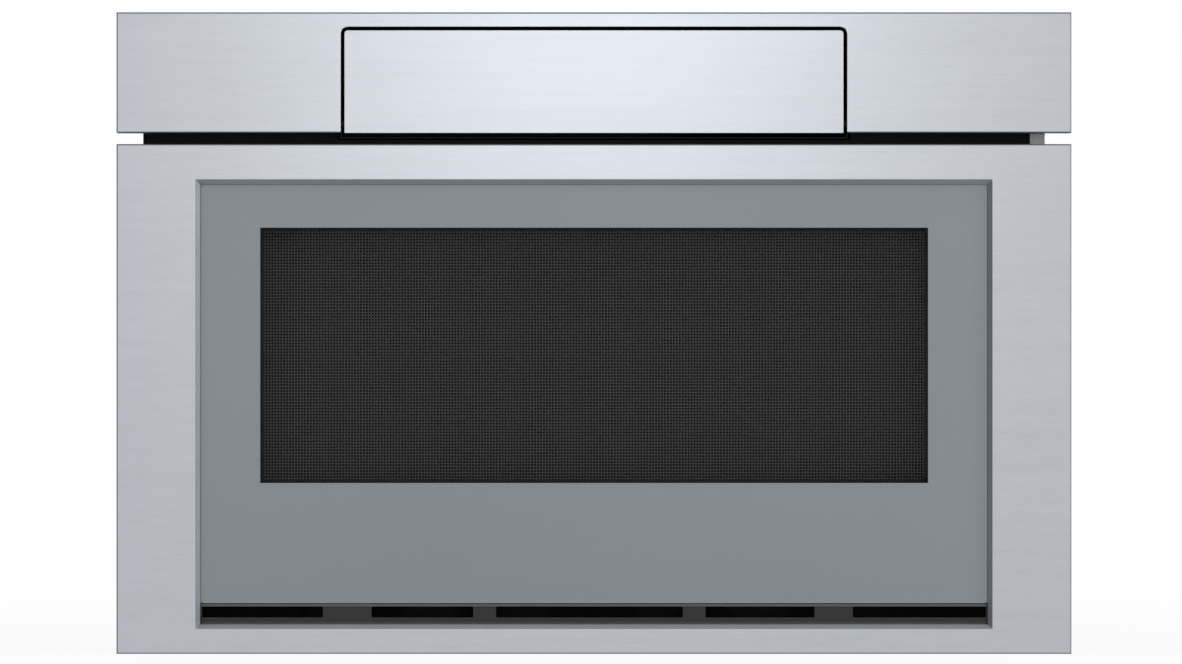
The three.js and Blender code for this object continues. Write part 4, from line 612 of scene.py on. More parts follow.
def green_board():
    finish = Finish("circuit_lacquer", "circuit_board")
    across = finish.lines("X", 2.54 * MILLIMETRE).above(0.62)
    along = finish.lines("Y", 10.16 * MILLIMETRE).above(0.2)
    tracks = across * along
    return finish.give({
        "Base Color": finish.between((0.012, 0.062, 0.028), (0.04, 0.15, 0.06), 0.7 * tracks),
        "Roughness": 0.3 + 0.1 * finish.noise(300),
        "Normal": finish.relief(tracks, 0.00004, 0.5),
    })


black_plastic = moulded("black_plastic", "black_plastic", (0.011, 0.011, 0.012), 0.5)
# A darker copy of the black plastic: painted shade for the carrier in the dark of the duct.
duct_plastic = shaded_plastic("duct_plastic", (0.004, 0.004, 0.0042))
grey_plastic = moulded("grey_plastic", "grey_plastic", (0.105, 0.11, 0.115), 0.5)
white_plastic = moulded("white_plastic", "white_plastic", (0.66, 0.65, 0.60), 0.42)
nylon = moulded("natural_nylon", "nylon", (0.70, 0.69, 0.63), 0.38)
mica = pressed_mica()
ceramic = glass_ceramic()
board = green_board()
print("plastics:", black_plastic, duct_plastic, grey_plastic, white_plastic, nylon)
print("minerals and lacquer:", mica, ceramic, board)

# %% [markdown]
# ## Glass
# The drawer's pane is clear glass that carries a grey ceramic print round a clear window. The print
# is opaque, so it is a satin grey under a glossy coat. In the window the same glass is nearly clear,
# and what shows is the dark screen behind. The control glass is black-printed, and a smoked inner
# pane closes the tub.

# %% Glass finishes
def printed_glass(name, slot, colour, spread):
    finish = Finish(name, slot)
    print_grain = finish.noise(2400, detail=1)
    shade = finish.noise(6, detail=1)
    return finish.give({
        "Base Color": finish.shades(colour, spread, 0.35 * print_grain + 0.65 * shade),
        "Specular IOR Level": 0.4,
        "Roughness": 0.09 + 0.03 * shade,
        "Normal": finish.relief(shade, 0.0002, 0.05),
    })


def clear_glass(name, slot, tint, cover):
    finish = Finish(name, slot)
    film = finish.noise(18, detail=2)
    return finish.give({
        "Base Color": finish.shades(tint, 0.1, film),
        "Specular IOR Level": 0.08,
        "Roughness": 0.04 + 0.03 * film,
        "Alpha": cover + 0.02 * film,
    })


grey_glass = printed_glass("grey_print", "grey_glass", (0.249, 0.273, 0.291), 0.04)
# A lighter grey for the pane's lower edge: painted light, where the edge lies in shade.
ground_edge = printed_glass("ground_edge", "grey_glass", (0.50, 0.53, 0.55), 0.06)
window_glass = clear_glass("window_glass", "grey_glass", (0.012, 0.013, 0.014), 0.10)
black_glass = printed_glass("black_print", "black_glass", (0.005, 0.005, 0.006), 0.1)
clear_pane = clear_glass("clear_pane", "clear_pane", (0.004, 0.004, 0.0045), 0.75)
print("glass:", grey_glass, ground_edge, window_glass, black_glass, clear_pane)

# %% A finish for each slot
FINISHES = {
    finish.slot: finish
    for finish in (
        stainless, zinc, black, slide, enamel, aluminium, core, copper, black_plastic, grey_plastic,
        white_plastic, nylon, mica, ceramic, board, grey_glass, black_glass, clear_pane,
    )
}
missing = {part["material_slot"] for part in frame["record"]["subparts"]} - set(FINISHES)
print("slots with no finish:", sorted(missing))

# %% [markdown]
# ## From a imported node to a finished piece
# Pressed sheet, turned pins and mouldings never have a perfectly sharp edge, and a small rounding
# catches a line of light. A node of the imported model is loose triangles, so a copy is merged into
# clean faces first, then a Bevel modifier rounds its edges. Faces that differ, such as the fold round
# a rim, take their own finish by where they are and which way they face.

# %% Merge and round
SAME_POINT = 0.001 * MILLIMETRE
FLAT_JOINT = math.radians(0.4)
SHARP_EDGE = math.radians(30)
SLOT_OF = {part["node"]: part["material_slot"] for part in frame["record"]["subparts"]}
BODY_OF = {node: thing["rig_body"] for node, thing in frame["nodes"].items()}


def merged_copy(node):
    """A bmesh of the node's shape with its shared points merged and its flat faces joined."""
    builder = bmesh.new()
    builder.from_mesh(frame["nodes"][node].data)
    bmesh.ops.remove_doubles(builder, verts=builder.verts, dist=SAME_POINT)
    bmesh.ops.dissolve_limit(
        builder, angle_limit=FLAT_JOINT, verts=builder.verts, edges=builder.edges
    )
    return builder


def finished_piece(name, builder, finishes):
    """An object from the bmesh, with a material slot for each finish."""
    return built(name, builder, [finish.material for finish in finishes])


def round_edges(piece, width):
    """Rounds sharp edges. Weighted normals keep the large faces flat."""
    for face in piece.data.polygons:
        face.use_smooth = True
    piece.data.set_sharp_from_angle(angle=SHARP_EDGE)
    rounding = piece.modifiers.new("rounding", "BEVEL")
    rounding.width = width
    rounding.segments = 2
    rounding.limit_method = "ANGLE"
    rounding.angle_limit = SHARP_EDGE
    flatness = piece.modifiers.new("flat_faces", "WEIGHTED_NORMAL")
    flatness.weight = 100
    flatness.keep_sharp = True


print("an edge counts as sharp from", round(math.degrees(SHARP_EDGE)), "degrees")

# %% Refine a node
def refine(node, width, paint=(), main=None):
    """Replaces a node by a rounded copy. `paint` lists finishes, each with a test of a face."""
    builder = merged_copy(node)
    for face in builder.faces:
        for index, (finish, test) in enumerate(paint, start=1):
            if test(face.calc_center_median(), face.normal):
                face.material_index = index
    own = main or FINISHES[SLOT_OF[node]]
    piece = finished_piece(node + "_finished", builder, [own, *(finish for finish, _ in paint)])
    round_edges(piece, width)
    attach(piece, BODY_OF[node])
    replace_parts(piece, node)
    return piece


def dress(node):
    """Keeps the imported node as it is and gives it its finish."""
    thing = frame["nodes"][node]
    thing.data.materials.clear()
    thing.data.materials.append(FINISHES[SLOT_OF[node]].material)


print("nodes to dress:", len(frame["nodes"]))

# %% [markdown]
# ## The stainless front
# Three pressings make the front: the drawer's skin with its sunken recess, the fascia above it, and
# the hatch let into that. Their outer edges are folded back over a narrow rim, and the recess has a
# sloping lip. Both pick up less light than the flat face, so the slopes and the rims get darker copies
# of the brushed finish as painted shade, and a test of each face's place and direction tells which is
# which.

# %% Which face is which
LEANING = 0.3  # a face leans towards an axis when its normal has this much of it
SLOPING = 0.5  # and a slope of the recess turns this much towards the middle
NOT_FRONT = 0.95  # less than this of Y, and a face isn't one of the flat fronts
FOLD = 2 * MILLIMETRE  # the folds outside lie this near the outline
BAR_SIDE = 40 * MILLIMETRE  # narrower than the stainless bars round the recess
BAR_TOP = 15 * MILLIMETRE
BAR_BOTTOM = 10 * MILLIMETRE


def faces_sideways(_, normal):
    return abs(normal.y) < NOT_FRONT


def on_rim(centre, normal):
    """The narrow chamfer round a skin and the edges in its gaps, without the folds outside."""
    outside = abs(centre.x) > front_high.x - FOLD or normal.z > LEANING
    fold = outside and abs(normal.y) < LEANING
    return faces_sideways(centre, normal) and not fold


def upper_chamfer(centre, normal):
    return on_rim(centre, normal) and normal.z > LEANING


def right_chamfer(centre, normal):
    return on_rim(centre, normal) and normal.x > LEANING


def in_recess(centre, normal):
    inside_x = abs(centre.x) < front_high.x - BAR_SIDE
    inside_z = front_low.z + BAR_BOTTOM < centre.z < front_high.z - BAR_TOP
    return faces_sideways(centre, normal) and inside_x and inside_z


def slope(side, axis, sign):
    """The painted-shade finish of one side of the recess, with the test that finds its faces."""

    def test(centre, normal):
        return in_recess(centre, normal) and sign * normal[axis] > SLOPING

    return SLOPES[side], test


print("skins are painted between x", [round(v * 1000) for v in (front_low.x, front_high.x)], "mm")

# %% Stainless skins
# Painted shade: the rims, the chamfers facing up and those facing right take darker copies of the steel.
rim = (stainless_rim, on_rim)
lit_rim = (painted_shade_right_edge, right_chamfer)
slopes = [slope("left", 0, 1), slope("right", 0, -1), slope("upper", 2, -1), slope("lower", 2, 1)]
skins = [
    refine("door_skin", 0.28 * MILLIMETRE, [rim, lit_rim, *slopes]),
    refine("fascia_skin", 0.28 * MILLIMETRE, [rim, lit_rim, (painted_shade_top_edge, upper_chamfer)]),
    refine("hatch_skin", 0.15 * MILLIMETRE, [(stainless_rim, faces_sideways)]),
]
print("stainless skins:", [piece.name for piece in skins])

# %% [markdown]
# ## The grey glass and its window
# The printed border and the clear window are one pane. Cutting the pane's faces along the window's
# four edges keeps that border crisp at any distance, where a painted mask would blur. The faces
# inside the cuts take the clear finish, and the lower edge, which shows above the strip, takes a
# lighter grey: painted light on an edge that lies in shade.

# %% Front glass
WINDOW_LEFT = 260.0  # pixels in the photograph
WINDOW_RIGHT = 928.3
WINDOW_TOP = 227.6
WINDOW_BOTTOM = 483.1

window_low = photo_point(WINDOW_LEFT, WINDOW_BOTTOM)
window_high = photo_point(WINDOW_RIGHT, WINDOW_TOP)


def cut_along(builder, axis, place):
    """Cuts every face across the plane at `place` on the axis."""
    normal = Vector((axis == "x", 0, axis == "z"))
    everything = [*builder.verts, *builder.edges, *builder.faces]
    bmesh.ops.bisect_plane(builder, geom=everything, plane_co=normal * place, plane_no=normal)


pane = merged_copy("front_glass")
for edge_x in (window_low[0], window_high[0]):
    cut_along(pane, "x", edge_x)
for edge_z in (window_low[1], window_high[1]):
    cut_along(pane, "z", edge_z)
for face in pane.faces:
    centre = face.calc_center_median()
    clear_x = window_low[0] < centre.x < window_high[0]
    clear_z = window_low[1] < centre.z < window_high[1]
    # Faces that look down, along the lower edge, take the painted light.
    face.material_index = 2 if face.normal.z < -LEANING else int(clear_x and clear_z)
glass = finished_piece("front_glass_finished", pane, [grey_glass, window_glass, ground_edge])
round_edges(glass, 0.12 * MILLIMETRE)
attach(glass, "drawer")
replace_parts(glass, "front_glass")
print(f"window: {(window_high[0] - window_low[0]) * 1000:.1f} mm wide")

# %% [markdown]
# ## The seal round the glass
# A bead of grey sealant closes the joint between the pane and the slopes of the recess, so that no
# dark seam shows there. It is one section, a small wedge that fills the pane's chamfer, swept up the
# left side, across the top and down the right side with mitred corners.

# %% Seal bead
BEAD_SECTION = ((-0.5, 0.02), (0.28, 0.02), (0.28, 2.0), (0.02, 2.0), (0.02, 0.52))


def sealant_finish():
    finish = Finish("grey_sealant", "grey_glass")
    skin = finish.noise(500, detail=2)
    return finish.give({
        "Base Color": finish.shades((0.215, 0.232, 0.245), 0.08, skin),
        "Roughness": 0.5 + 0.1 * skin,
    })


def swept_bead(low, high):
    """The bead round a pane's box. The section is in mm: outwards from its edge, back from its face."""
    section = [(out * MILLIMETRE, low.y + back * MILLIMETRE) for out, back in BEAD_SECTION]
    left = ((low.x, low.z, -1, 0), (low.x, high.z, -1, 1))
    right = ((high.x, high.z, 1, 1), (high.x, low.z, 1, 0))
    builder = bmesh.new()
    rings = []
    for x, z, out_x, out_z in left + right:
        rings.append([builder.verts.new((x + out_x * out, y, z + out_z * out)) for out, y in section])
    for first, second in zip(rings, rings[1:]):
        for here in range(len(BEAD_SECTION)):
            after = (here + 1) % len(BEAD_SECTION)
            builder.faces.new((first[here], first[after], second[after], second[here]))
    builder.faces.new(rings[0])
    builder.faces.new(rings[-1])
    bmesh.ops.recalc_face_normals(builder, faces=builder.faces)
    return builder


glass_low, glass_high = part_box("front_glass")
bead = finished_piece("glass_seal", swept_bead(glass_low, glass_high), [sealant_finish()])
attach(bead, "drawer")
print("seal bead faces:", len(bead.data.polygons))

# %% [markdown]
# ## The air strip
# Below the pane runs a strip of dark plastic with five slots. Its upper edge is a lighter line, and
# its foot is painted lighter, a painted reflection of the steel slope in front of it. Both follow the
# height, so the finish reads the Z of the Object coordinates: a step at the slots' top, and a ramp
# towards the foot.

# %% Air strip
EDGE_BELOW_GLASS = 2.3 * MILLIMETRE
FOOT_TOP = 5.6 * MILLIMETRE
FOOT_FADE = 1.8 * MILLIMETRE


def strip_plastic():
    finish = Finish("strip_plastic", "black_plastic")
    grain = finish.noise(1400, detail=1)
    height = finish.along("Z")
    edge = height.above(glass_low.z - EDGE_BELOW_GLASS)
    # The ramp towards the foot paints light: a painted reflection of the steel slope below.
    foot = ((FOOT_TOP - height) * (1 / FOOT_FADE)).clamped()
    body = finish.shades((0.0225, 0.0225, 0.023), 0.12, grain)
    foot_painted_light = finish.between(body, (0.10, 0.104, 0.107), foot)
    return finish.give({
        "Base Color": finish.between(foot_painted_light, (0.115, 0.122, 0.125), edge),
        "Specular IOR Level": 0.3,
        "Roughness": 0.46 + 0.1 * grain,
        "Normal": finish.relief(grain, 0.00003, 0.4),
    })


refine("vent_grille", 0.15 * MILLIMETRE, main=strip_plastic())
# Painted shade: the carrier's black plastic made darker than its own colour.
refine("glass_carrier", 0.3 * MILLIMETRE, main=duct_plastic)
# Painted shade: the door frame's enamel made darker than its own colour.
refine("door_frame", 0.2 * MILLIMETRE, main=black_painted_shade)
# Painted shade: the end bracket's zinc made darker than its own.
refine("gap_end_bracket", 0.2 * MILLIMETRE, main=dull_zinc)
print("air strip, glass carrier, door frame and end bracket")

# %% [markdown]
# ## Parts that repeat
# The window's screen and the screws are each one small shape many times over, so Geometry Nodes make
# them. A tree has named inputs, stands its shape on points, makes the copies real and gives them their
# finish. It sits on a seed object, whose loose points also say which way each copy faces and how
# large it is. Each piece is kept as a plain mesh: the result is taken from the evaluated seed, and the
# modifier and the seed go.

# %% Growth
class Growth(Sketch):
    """A Geometry Nodes tree with named inputs that ends in plain, coated geometry."""

    def __init__(self, name, inputs):
        super().__init__(bpy.data.node_groups.new(name, "GeometryNodeTree"))
        sockets = self.tree.interface
        sockets.new_socket("Geometry", in_out="OUTPUT", socket_type="NodeSocketGeometry")
        for title, (kind, value) in inputs.items():
            made = sockets.new_socket(title, in_out="INPUT", socket_type="NodeSocket" + kind)
            if value is not None:
                made.default_value = value

    def given(self, name):
        return self.node("NodeGroupInput", output=name)

    def finish_with(self, copies, finish):
        real = self.node("GeometryNodeRealizeInstances", None, {"Geometry": copies})
        inputs = {"Geometry": real, "Material": finish.material}
        coated = self.node("GeometryNodeSetMaterial", None, inputs)
        last = self.tree.nodes.new("NodeGroupOutput")
        self.feed(last.inputs["Geometry"], coated)
        return self.tree


print("a growth takes named inputs and ends in real geometry with a finish")

# %% Grow a mesh
def point_cloud(name, points):
    """A mesh of loose points, each given as its place, the way it faces and its size."""
    mesh = bpy.data.meshes.new(name)
    mesh.from_pydata([place for place, _, _ in points], [], [])
    mesh.attributes.new("facing", "FLOAT_VECTOR", "POINT")
    mesh.attributes.new("girth", "FLOAT", "POINT")
    for index, (_, way, size) in enumerate(points):
        mesh.attributes["facing"].data[index].vector = way
        mesh.attributes["girth"].data[index].value = size
    return mesh


def grown(name, tree, values, points=()):
    """A plain mesh grown by a Geometry Nodes tree from points, with the given named inputs."""
    seed = linked(name + "_seed", point_cloud(name + "_seed", points))
    growth = seed.modifiers.new("growth", "NODES")
    growth.node_group = tree
    identifiers = {item.name: item.identifier for item in tree.interface.items_tree}
    for key, value in values.items():
        growth[identifiers[key]] = value
    evaluated = seed.evaluated_get(bpy.context.evaluated_depsgraph_get())
    mesh = bpy.data.meshes.new_from_object(evaluated)
    seed.modifiers.remove(growth)
    bpy.data.objects.remove(seed)
    mesh.name = name
    return mesh


print("ready to grow meshes")

# %% [markdown]
# ## The window's screen
# Behind the glass a thin steel screen stops the microwaves and lets light through. Its openings are
# far smaller than a microwave and sit in rows and columns, so the metal left between them is two sets
# of crossing strips. Geometry Nodes lay one strip along a line of points in each direction, and the
# plain rim round them is a frame of four strips.

# %% Screen by Geometry Nodes
def strips_tree(finish):
    """A tree that lays equal strips side by side along an offset."""
    row = Growth("row_of_strips", {
        "Count": ("Int", 10),
        "First Centre": ("Vector", (0, 0, 0)),
        "Step": ("Vector", (0.002, 0, 0)),
        "Strip Size": ("Vector", (0.001, 0.001, 0.1)),
    })
    inputs = {"Count": "Count", "Start Location": "First Centre", "Offset": "Step"}
    places = {socket: row.given(name) for socket, name in inputs.items()}
    line = row.node("GeometryNodeMeshLine", {"mode": "OFFSET"}, places)
    strip = row.node("GeometryNodeMeshCube", None, {"Size": row.given("Strip Size")})
    copies = row.node("GeometryNodeInstanceOnPoints", None, {"Points": line, "Instance": strip})
    return row.finish_with(copies, finish)


print("a tree of strips has inputs for its count, first centre, step and strip size")

# %% Screen sizes and paint
SCREEN_PITCH = 1.87 * MILLIMETRE
STRIP_WIDTH = 0.62 * MILLIMETRE
SCREEN_RIM = 1.8 * MILLIMETRE
UPRIGHT_SHARE = 0.9  # of the sheet's thickness, so that the two rows share no face
LEVEL_SHARE = 0.8


def screen_finish(name, colour):
    finish = Finish(name, "black_steel")
    return finish.give({
        "Base Color": finish.shades(colour, 0.15, finish.noise(300)),
        "Specular IOR Level": 0.15,
        "Roughness": 0.5 + 0.1 * finish.noise(900),
    })


screen_paint = screen_finish("screen_paint", (0.070, 0.070, 0.071))
# The rim is the screen's paint made darker: painted shade along the window's edge.
rim_shade_painted = screen_finish("screen_rim_paint", (0.022, 0.022, 0.023))
strips = strips_tree(screen_paint)
screen_low, screen_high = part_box("window_screen")
inner = [
    (window_low[0] + SCREEN_RIM, window_high[0] - SCREEN_RIM),
    (window_low[1] + SCREEN_RIM, window_high[1] - SCREEN_RIM),
]
screen_y = (screen_low.y + screen_high.y) / 2
thickness = screen_high.y - screen_low.y
middle = Vector((sum(inner[0]) / 2, screen_y, sum(inner[1]) / 2))
span_x = inner[0][1] - inner[0][0]
span_z = inner[1][1] - inner[1][0]
columns = int(span_x / SCREEN_PITCH)
rows = int(span_z / SCREEN_PITCH)
print(f"screen: {columns} by {rows} strips")

# %% Screen frame
border = bmesh.new()
depth = (screen_low.y, screen_high.y)
for across in ((screen_low.x, inner[0][0]), (inner[0][1], screen_high.x)):
    add_block(border, across, depth, (screen_low.z, screen_high.z))
for upward in ((screen_low.z, inner[1][0]), (inner[1][1], screen_high.z)):
    add_block(border, inner[0], depth, upward)
screen_border = finished_piece("screen_border", border, [rim_shade_painted])
print("screen frame faces:", len(screen_border.data.polygons))

# %% Screen strips
def row_of_strips(name, count, step, size):
    """One row of strips round the middle of the window, as an object of its own."""
    first = middle - Vector(step) * (count - 1) / 2
    values = {"Count": count, "First Centre": list(first), "Step": step, "Strip Size": size}
    return linked(name, grown(name, strips, values))


upright_size = (STRIP_WIDTH, thickness * UPRIGHT_SHARE, span_z)
level_size = (span_x, thickness * LEVEL_SHARE, STRIP_WIDTH)
uprights = row_of_strips("screen_uprights", columns, (span_x / columns, 0, 0), upright_size)
levels = row_of_strips("screen_levels", rows, (0, 0, span_z / rows), level_size)
for piece in (screen_border, uprights, levels):
    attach(piece, "drawer")
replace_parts(screen_border, "window_screen")
print("screen pieces:", screen_border.name, uprights.name, levels.name)

# %% [markdown]
# ## The other outer pieces
# The case, the frame, the hatch's housing and all that the open drawer shows are refined the same
# way, each with a rounding that suits its sheet or its mould. A component made of several materials,
# such as a board with its parts or a motor with its gearbox, takes a finish for each region. The
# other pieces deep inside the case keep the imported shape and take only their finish.

# %% Component paints
def within(node, **limits):
    """A test for faces of a region. Each limit is in mm from the low side of the node's box or, below
    zero, from its high side: z_above=9.8 or x_below=-23."""
    low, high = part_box(node)

    def test(centre, _):
        for name, offset in limits.items():
            axis, side = name.split("_")
            limit = getattr(low if offset > 0 else high, axis) + offset * MILLIMETRE
            inside = getattr(centre, axis) > limit if side == "above" else getattr(centre, axis) < limit
            if not inside:
                return False
        return True

    return test


def film_box():
    """The yellow shell of a film capacitor or a wound transformer."""
    finish = Finish("yellow_film", "circuit_board")
    grain = finish.noise(700, detail=2)
    return finish.give({
        "Base Color": finish.shades((0.56, 0.38, 0.06), 0.1, grain),
        "Roughness": 0.34 + 0.1 * grain,
    })


film = film_box()
PAINTS = {  # a later region covers an earlier one
    "control_board": [
        (black_plastic, {"z_above": 9.8}),  # the relays and all else that stands on the board
        (film, {"x_below": 65, "y_above": 175, "z_above": 9.8}),  # the small transformer
        (white_plastic, {"x_below": 15, "z_above": 9.8}),  # the plug strip at the edge
    ],
    "filter_board": [
        (film, {"x_above": 50, "z_above": 7.8}),  # the two capacitors
        (copper, {"x_below": 50, "z_above": 7.8}),  # the choke
    ],
    "drawer_gearmotor": [(zinc, {"x_below": -23})],  # the motor, without its gearbox
    "fan_motor": [(copper, {"z_above": -25.5})],  # the coil at the top
    "hv_capacitor": [(zinc, {"z_above": -10.8})],  # the terminals
    "interlock_switches": [(white_plastic, {"y_below": 6})],  # the plungers
}
for node, regions in PAINTS.items():
    refine(node, 0.2 * MILLIMETRE, [(finish, within(node, **limits)) for finish, limits in regions])
print("painted components:", len(PAINTS))

# %% Outer pieces
ROUNDED_SHEET = (
    "base_pan", "right_side_panel", "left_side_panel", "top_cover", "rear_cover", "front_frame",
    "cavity_shell", "right_outer_rail", "left_outer_rail", "right_middle_rail", "left_middle_rail",
    "right_inner_rail", "left_inner_rail", "right_side_arm", "left_side_arm", "choke_cover",
    "interlock_bracket", "motor_bracket",
)
ROUNDED_MOULDINGS = (
    "fascia_carrier", "hatch_housing", "cord_gland", "drive_rack", "drive_pinion", "fan_blade",
    "fan_shroud", "drawer_tub", "ceramic_floor", "inner_pane", "control_glass",
)
for nodes, rounding in ((ROUNDED_SHEET, 0.2 * MILLIMETRE), (ROUNDED_MOULDINGS, 0.35 * MILLIMETRE)):
    for node in nodes:
        refine(node, rounding)
done = {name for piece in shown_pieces() for name in piece.get("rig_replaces", [])}
for node in sorted(set(frame["nodes"]) - done):
    dress(node)
print("refined:", len(done), "kept:", len(frame["nodes"]) - len(done))

# %% [markdown]
# ## Screws
# Pan-head screws with a cross recess hold the covers, the flange, the boards and the drawer's front.
# A Geometry Nodes tree makes one head, a low cone with two crossed bars cut out of it. It stands a
# copy on every point and turns it the way the point faces, so one head serves them all.

# %% Screw heads by Geometry Nodes
SCREW_HEAD = {"Head Radius": 3.6 * MILLIMETRE, "Head Height": 1.7 * MILLIMETRE}
TOP_RADIUS = 0.7  # this and the two sizes of the recess are shares of the head's radius
RECESS_LONG = 1.1
RECESS_WIDE = 0.24


def screws_tree(finish):
    """A tree that stands one pan head with a cross recess on every point."""
    inputs = {"Points": ("Geometry", None)}
    inputs |= {name: ("Float", value) for name, value in SCREW_HEAD.items()}
    tree = Growth("screws_on_points", inputs)
    radius = tree.given("Head Radius")
    height = tree.given("Head Height")

    def vector(*channels):
        return tree.node("ShaderNodeCombineXYZ", None, dict(enumerate(channels)))

    outline = {"Vertices": 16, "Radius Top": radius * TOP_RADIUS, "Radius Bottom": radius, "Depth": height}
    head = tree.node("GeometryNodeMeshCone", {"fill_type": "NGON"}, outline)
    for long, wide in ((RECESS_LONG, RECESS_WIDE), (RECESS_WIDE, RECESS_LONG)):
        size = vector(radius * long, radius * wide, height)
        bar = tree.node("GeometryNodeMeshCube", None, {"Size": size})
        lift = {"Geometry": bar, "Translation": vector(0, 0, height)}
        raised = tree.node("GeometryNodeTransform", None, lift)
        cuts = {"Mesh 1": head, "Mesh 2": raised}
        head = tree.node("GeometryNodeMeshBoolean", {"operation": "DIFFERENCE"}, cuts)

    def carried(name, kind):
        return tree.node("GeometryNodeInputNamedAttribute", {"data_type": kind}, {"Name": name})

    way = {"Vector": carried("facing", "FLOAT_VECTOR")}
    turn = tree.node("FunctionNodeAlignRotationToVector", {"axis": "Z"}, way)
    placed = {"Points": tree.given("Points"), "Instance": head, "Rotation": turn}
    placed["Scale"] = carried("girth", "FLOAT")
    return tree.finish_with(tree.node("GeometryNodeInstanceOnPoints", None, placed), finish)


def screw_finish():
    finish = Finish("screw_zinc", "zinc_steel")
    haze = finish.noise(800, detail=2)
    return finish.give({
        "Base Color": finish.shades((0.40, 0.405, 0.41), 0.12, haze),
        "Metallic": 1.0,
        "Roughness": 0.2 + 0.14 * haze,
    })


screw_tree = screws_tree(screw_finish())
print("screw tree nodes:", len(screw_tree.nodes))

# %% [markdown]
# ### Where the screws go
# A cover is screwed near its edges at even steps, the flange on both sides, and a circuit board at its
# corners. Each place is a share of its node's box or an inset from its edge, so the screws follow the
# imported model. A ray from outside finds the metal there, so a screw always sits on real sheet.

# %% Places for screws
SCREW_CLEARANCE = 0.05  # metres in front of the metal, where a ray starts


def screws_on(node, way, spots, size=1.0):
    """Points on the node's outside at the spots, found by rays against `way`."""
    mesh = frame["nodes"][node].data
    shape = BVHTree.FromPolygons(
        [corner.co for corner in mesh.vertices], [tuple(face.vertices) for face in mesh.polygons]
    )
    found = []
    for spot in spots:
        start = Vector(spot) + Vector(way) * SCREW_CLEARANCE
        place, _, _, _ = shape.ray_cast(start, -Vector(way))
        if place is None:
            print("no metal for a screw at", [round(v * 1000) for v in spot], node)
        else:
            found.append((place, way, size))
    return found


def ends(low, high, inset):
    """Two places, each moved in from its end."""
    return low + inset, high - inset


def shares(low, high, parts):
    """Places at the given parts of the way from low to high."""
    return [low + (high - low) * part for part in parts]


def grid(xs, ys, zs):
    return [(x, y, z) for x in xs for y in ys for z in zs]


print("a grid of 2 by 1 by 3 places has", len(grid(ends(0, 1, 0.1), [0], shares(0, 1, (0, 0.5, 1)))))

# %% Screws of the case
EDGE_INSET = 6 * MILLIMETRE
FAN_INSET = 7 * MILLIMETRE
FLANGE_INSET = 5.4 * MILLIMETRE
BOARD_INSET = 7.5 * MILLIMETRE
FLANGE_SIZE = 0.85  # against a screw of the case
BOARD_SIZE = 0.7
ALONG_SHEET = (0.1, 0.37, 0.63, 0.9)
ALONG_REAR = (0.08, 0.36, 0.64, 0.92)
ALONG_FLANGE = (0.14, 0.44, 0.74)
BACK = (0, 1, 0)
FRONT = (0, -1, 0)
UP = (0, 0, 1)

rear_low, rear_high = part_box("rear_cover")
case_sides = ends(rear_low.x, rear_high.x, EDGE_INSET)
rear = grid(case_sides, [rear_high.y], shares(rear_low.z, rear_high.z, ALONG_REAR))
across = shares(rear_low.x, rear_high.x, (0.25, 0.5, 0.75))
rear += grid(across, [rear_high.y], ends(rear_low.z, rear_high.z, EDGE_INSET))
low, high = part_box("fan_shroud")
rear += grid(ends(low.x, high.x, FAN_INSET), [rear_high.y], ends(low.z, high.z, FAN_INSET))
low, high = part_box("top_cover")
roof = grid(case_sides, shares(low.y, high.y, ALONG_SHEET), [high.z])
low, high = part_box("front_frame")
flange = grid(ends(low.x, high.x, FLANGE_INSET), [low.y], shares(low.z, high.z, ALONG_FLANGE))
case_points = screws_on("rear_cover", BACK, rear) + screws_on("top_cover", UP, roof)
case_points += screws_on("front_frame", FRONT, flange, FLANGE_SIZE)
for panel, sign in (("right_side_panel", 1), ("left_side_panel", -1)):
    low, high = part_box(panel)
    outside = high.x if sign > 0 else low.x
    foot = grid([outside], shares(low.y, high.y, ALONG_SHEET), [low.z + EDGE_INSET])
    case_points += screws_on(panel, (sign, 0, 0), foot)
for node in ("control_board", "filter_board"):
    low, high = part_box(node)
    corners = grid(ends(low.x, high.x, BOARD_INSET), ends(low.y, high.y, BOARD_INSET), [high.z])
    case_points += screws_on(node, UP, corners, BOARD_SIZE)
print("screws of the case:", len(case_points))

# %% Screws of the drawer, and all heads
DOOR_INSET = 6.6 * MILLIMETRE
DOOR_SIZE = 0.75
ALONG_DOOR = (0.12, 0.5, 0.88)

low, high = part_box("door_frame")
door = grid(ends(low.x, high.x, DOOR_INSET), [high.y], shares(low.z, high.z, ALONG_DOOR))
SCREWS = {
    "chassis": case_points,
    "drawer": screws_on("door_frame", BACK, door, DOOR_SIZE),
}
for body, points in SCREWS.items():
    name = body + "_screws"
    screws = linked(name, grown(name, screw_tree, SCREW_HEAD, points))
    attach(screws, body)
    print(name, len(points), "heads,", len(screws.data.polygons), "faces")

# %% [markdown]
# ## The control panel's print
# When the hatch tilts out, its black glass shows eight touch keys and a clock. The print is a coat of
# white ink on the glass. Letters come from Blender's own font, turned into a mesh and laid on the
# glass's slope, and each key gets a thin square outline.

# %% Ink and its place
INK = 0.03 * MILLIMETRE
GLASS_SHEET = 2.5 * MILLIMETRE


def ink_finish(name, colour, glow):
    finish = Finish(name, "black_glass")
    coat = finish.noise(900, detail=2)
    paint = finish.shades(colour, 0.06, coat)
    return finish.give({
        "Base Color": paint,
        "Emission Color": paint,
        "Emission Strength": glow,
        "Roughness": 0.45 + 0.1 * coat,
    })


def slope_place(across, upward=0):
    """A matrix that lays flat lettering on the sloping glass, `across` and `upward` of its middle."""
    low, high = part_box("control_glass")
    back = GLASS_SHEET / math.sqrt(2)
    centre = Vector((0, (low.y + back + high.y) / 2, (low.z + back + high.z) / 2))
    right = Vector((1, 0, 0))
    up = Vector((0, 1, -1)).normalized()
    out = Vector((0, 1, 1)).normalized()
    basis = Matrix((right, up, out)).transposed().to_4x4()
    return Matrix.Translation(centre + right * across + up * upward + out * INK) @ basis


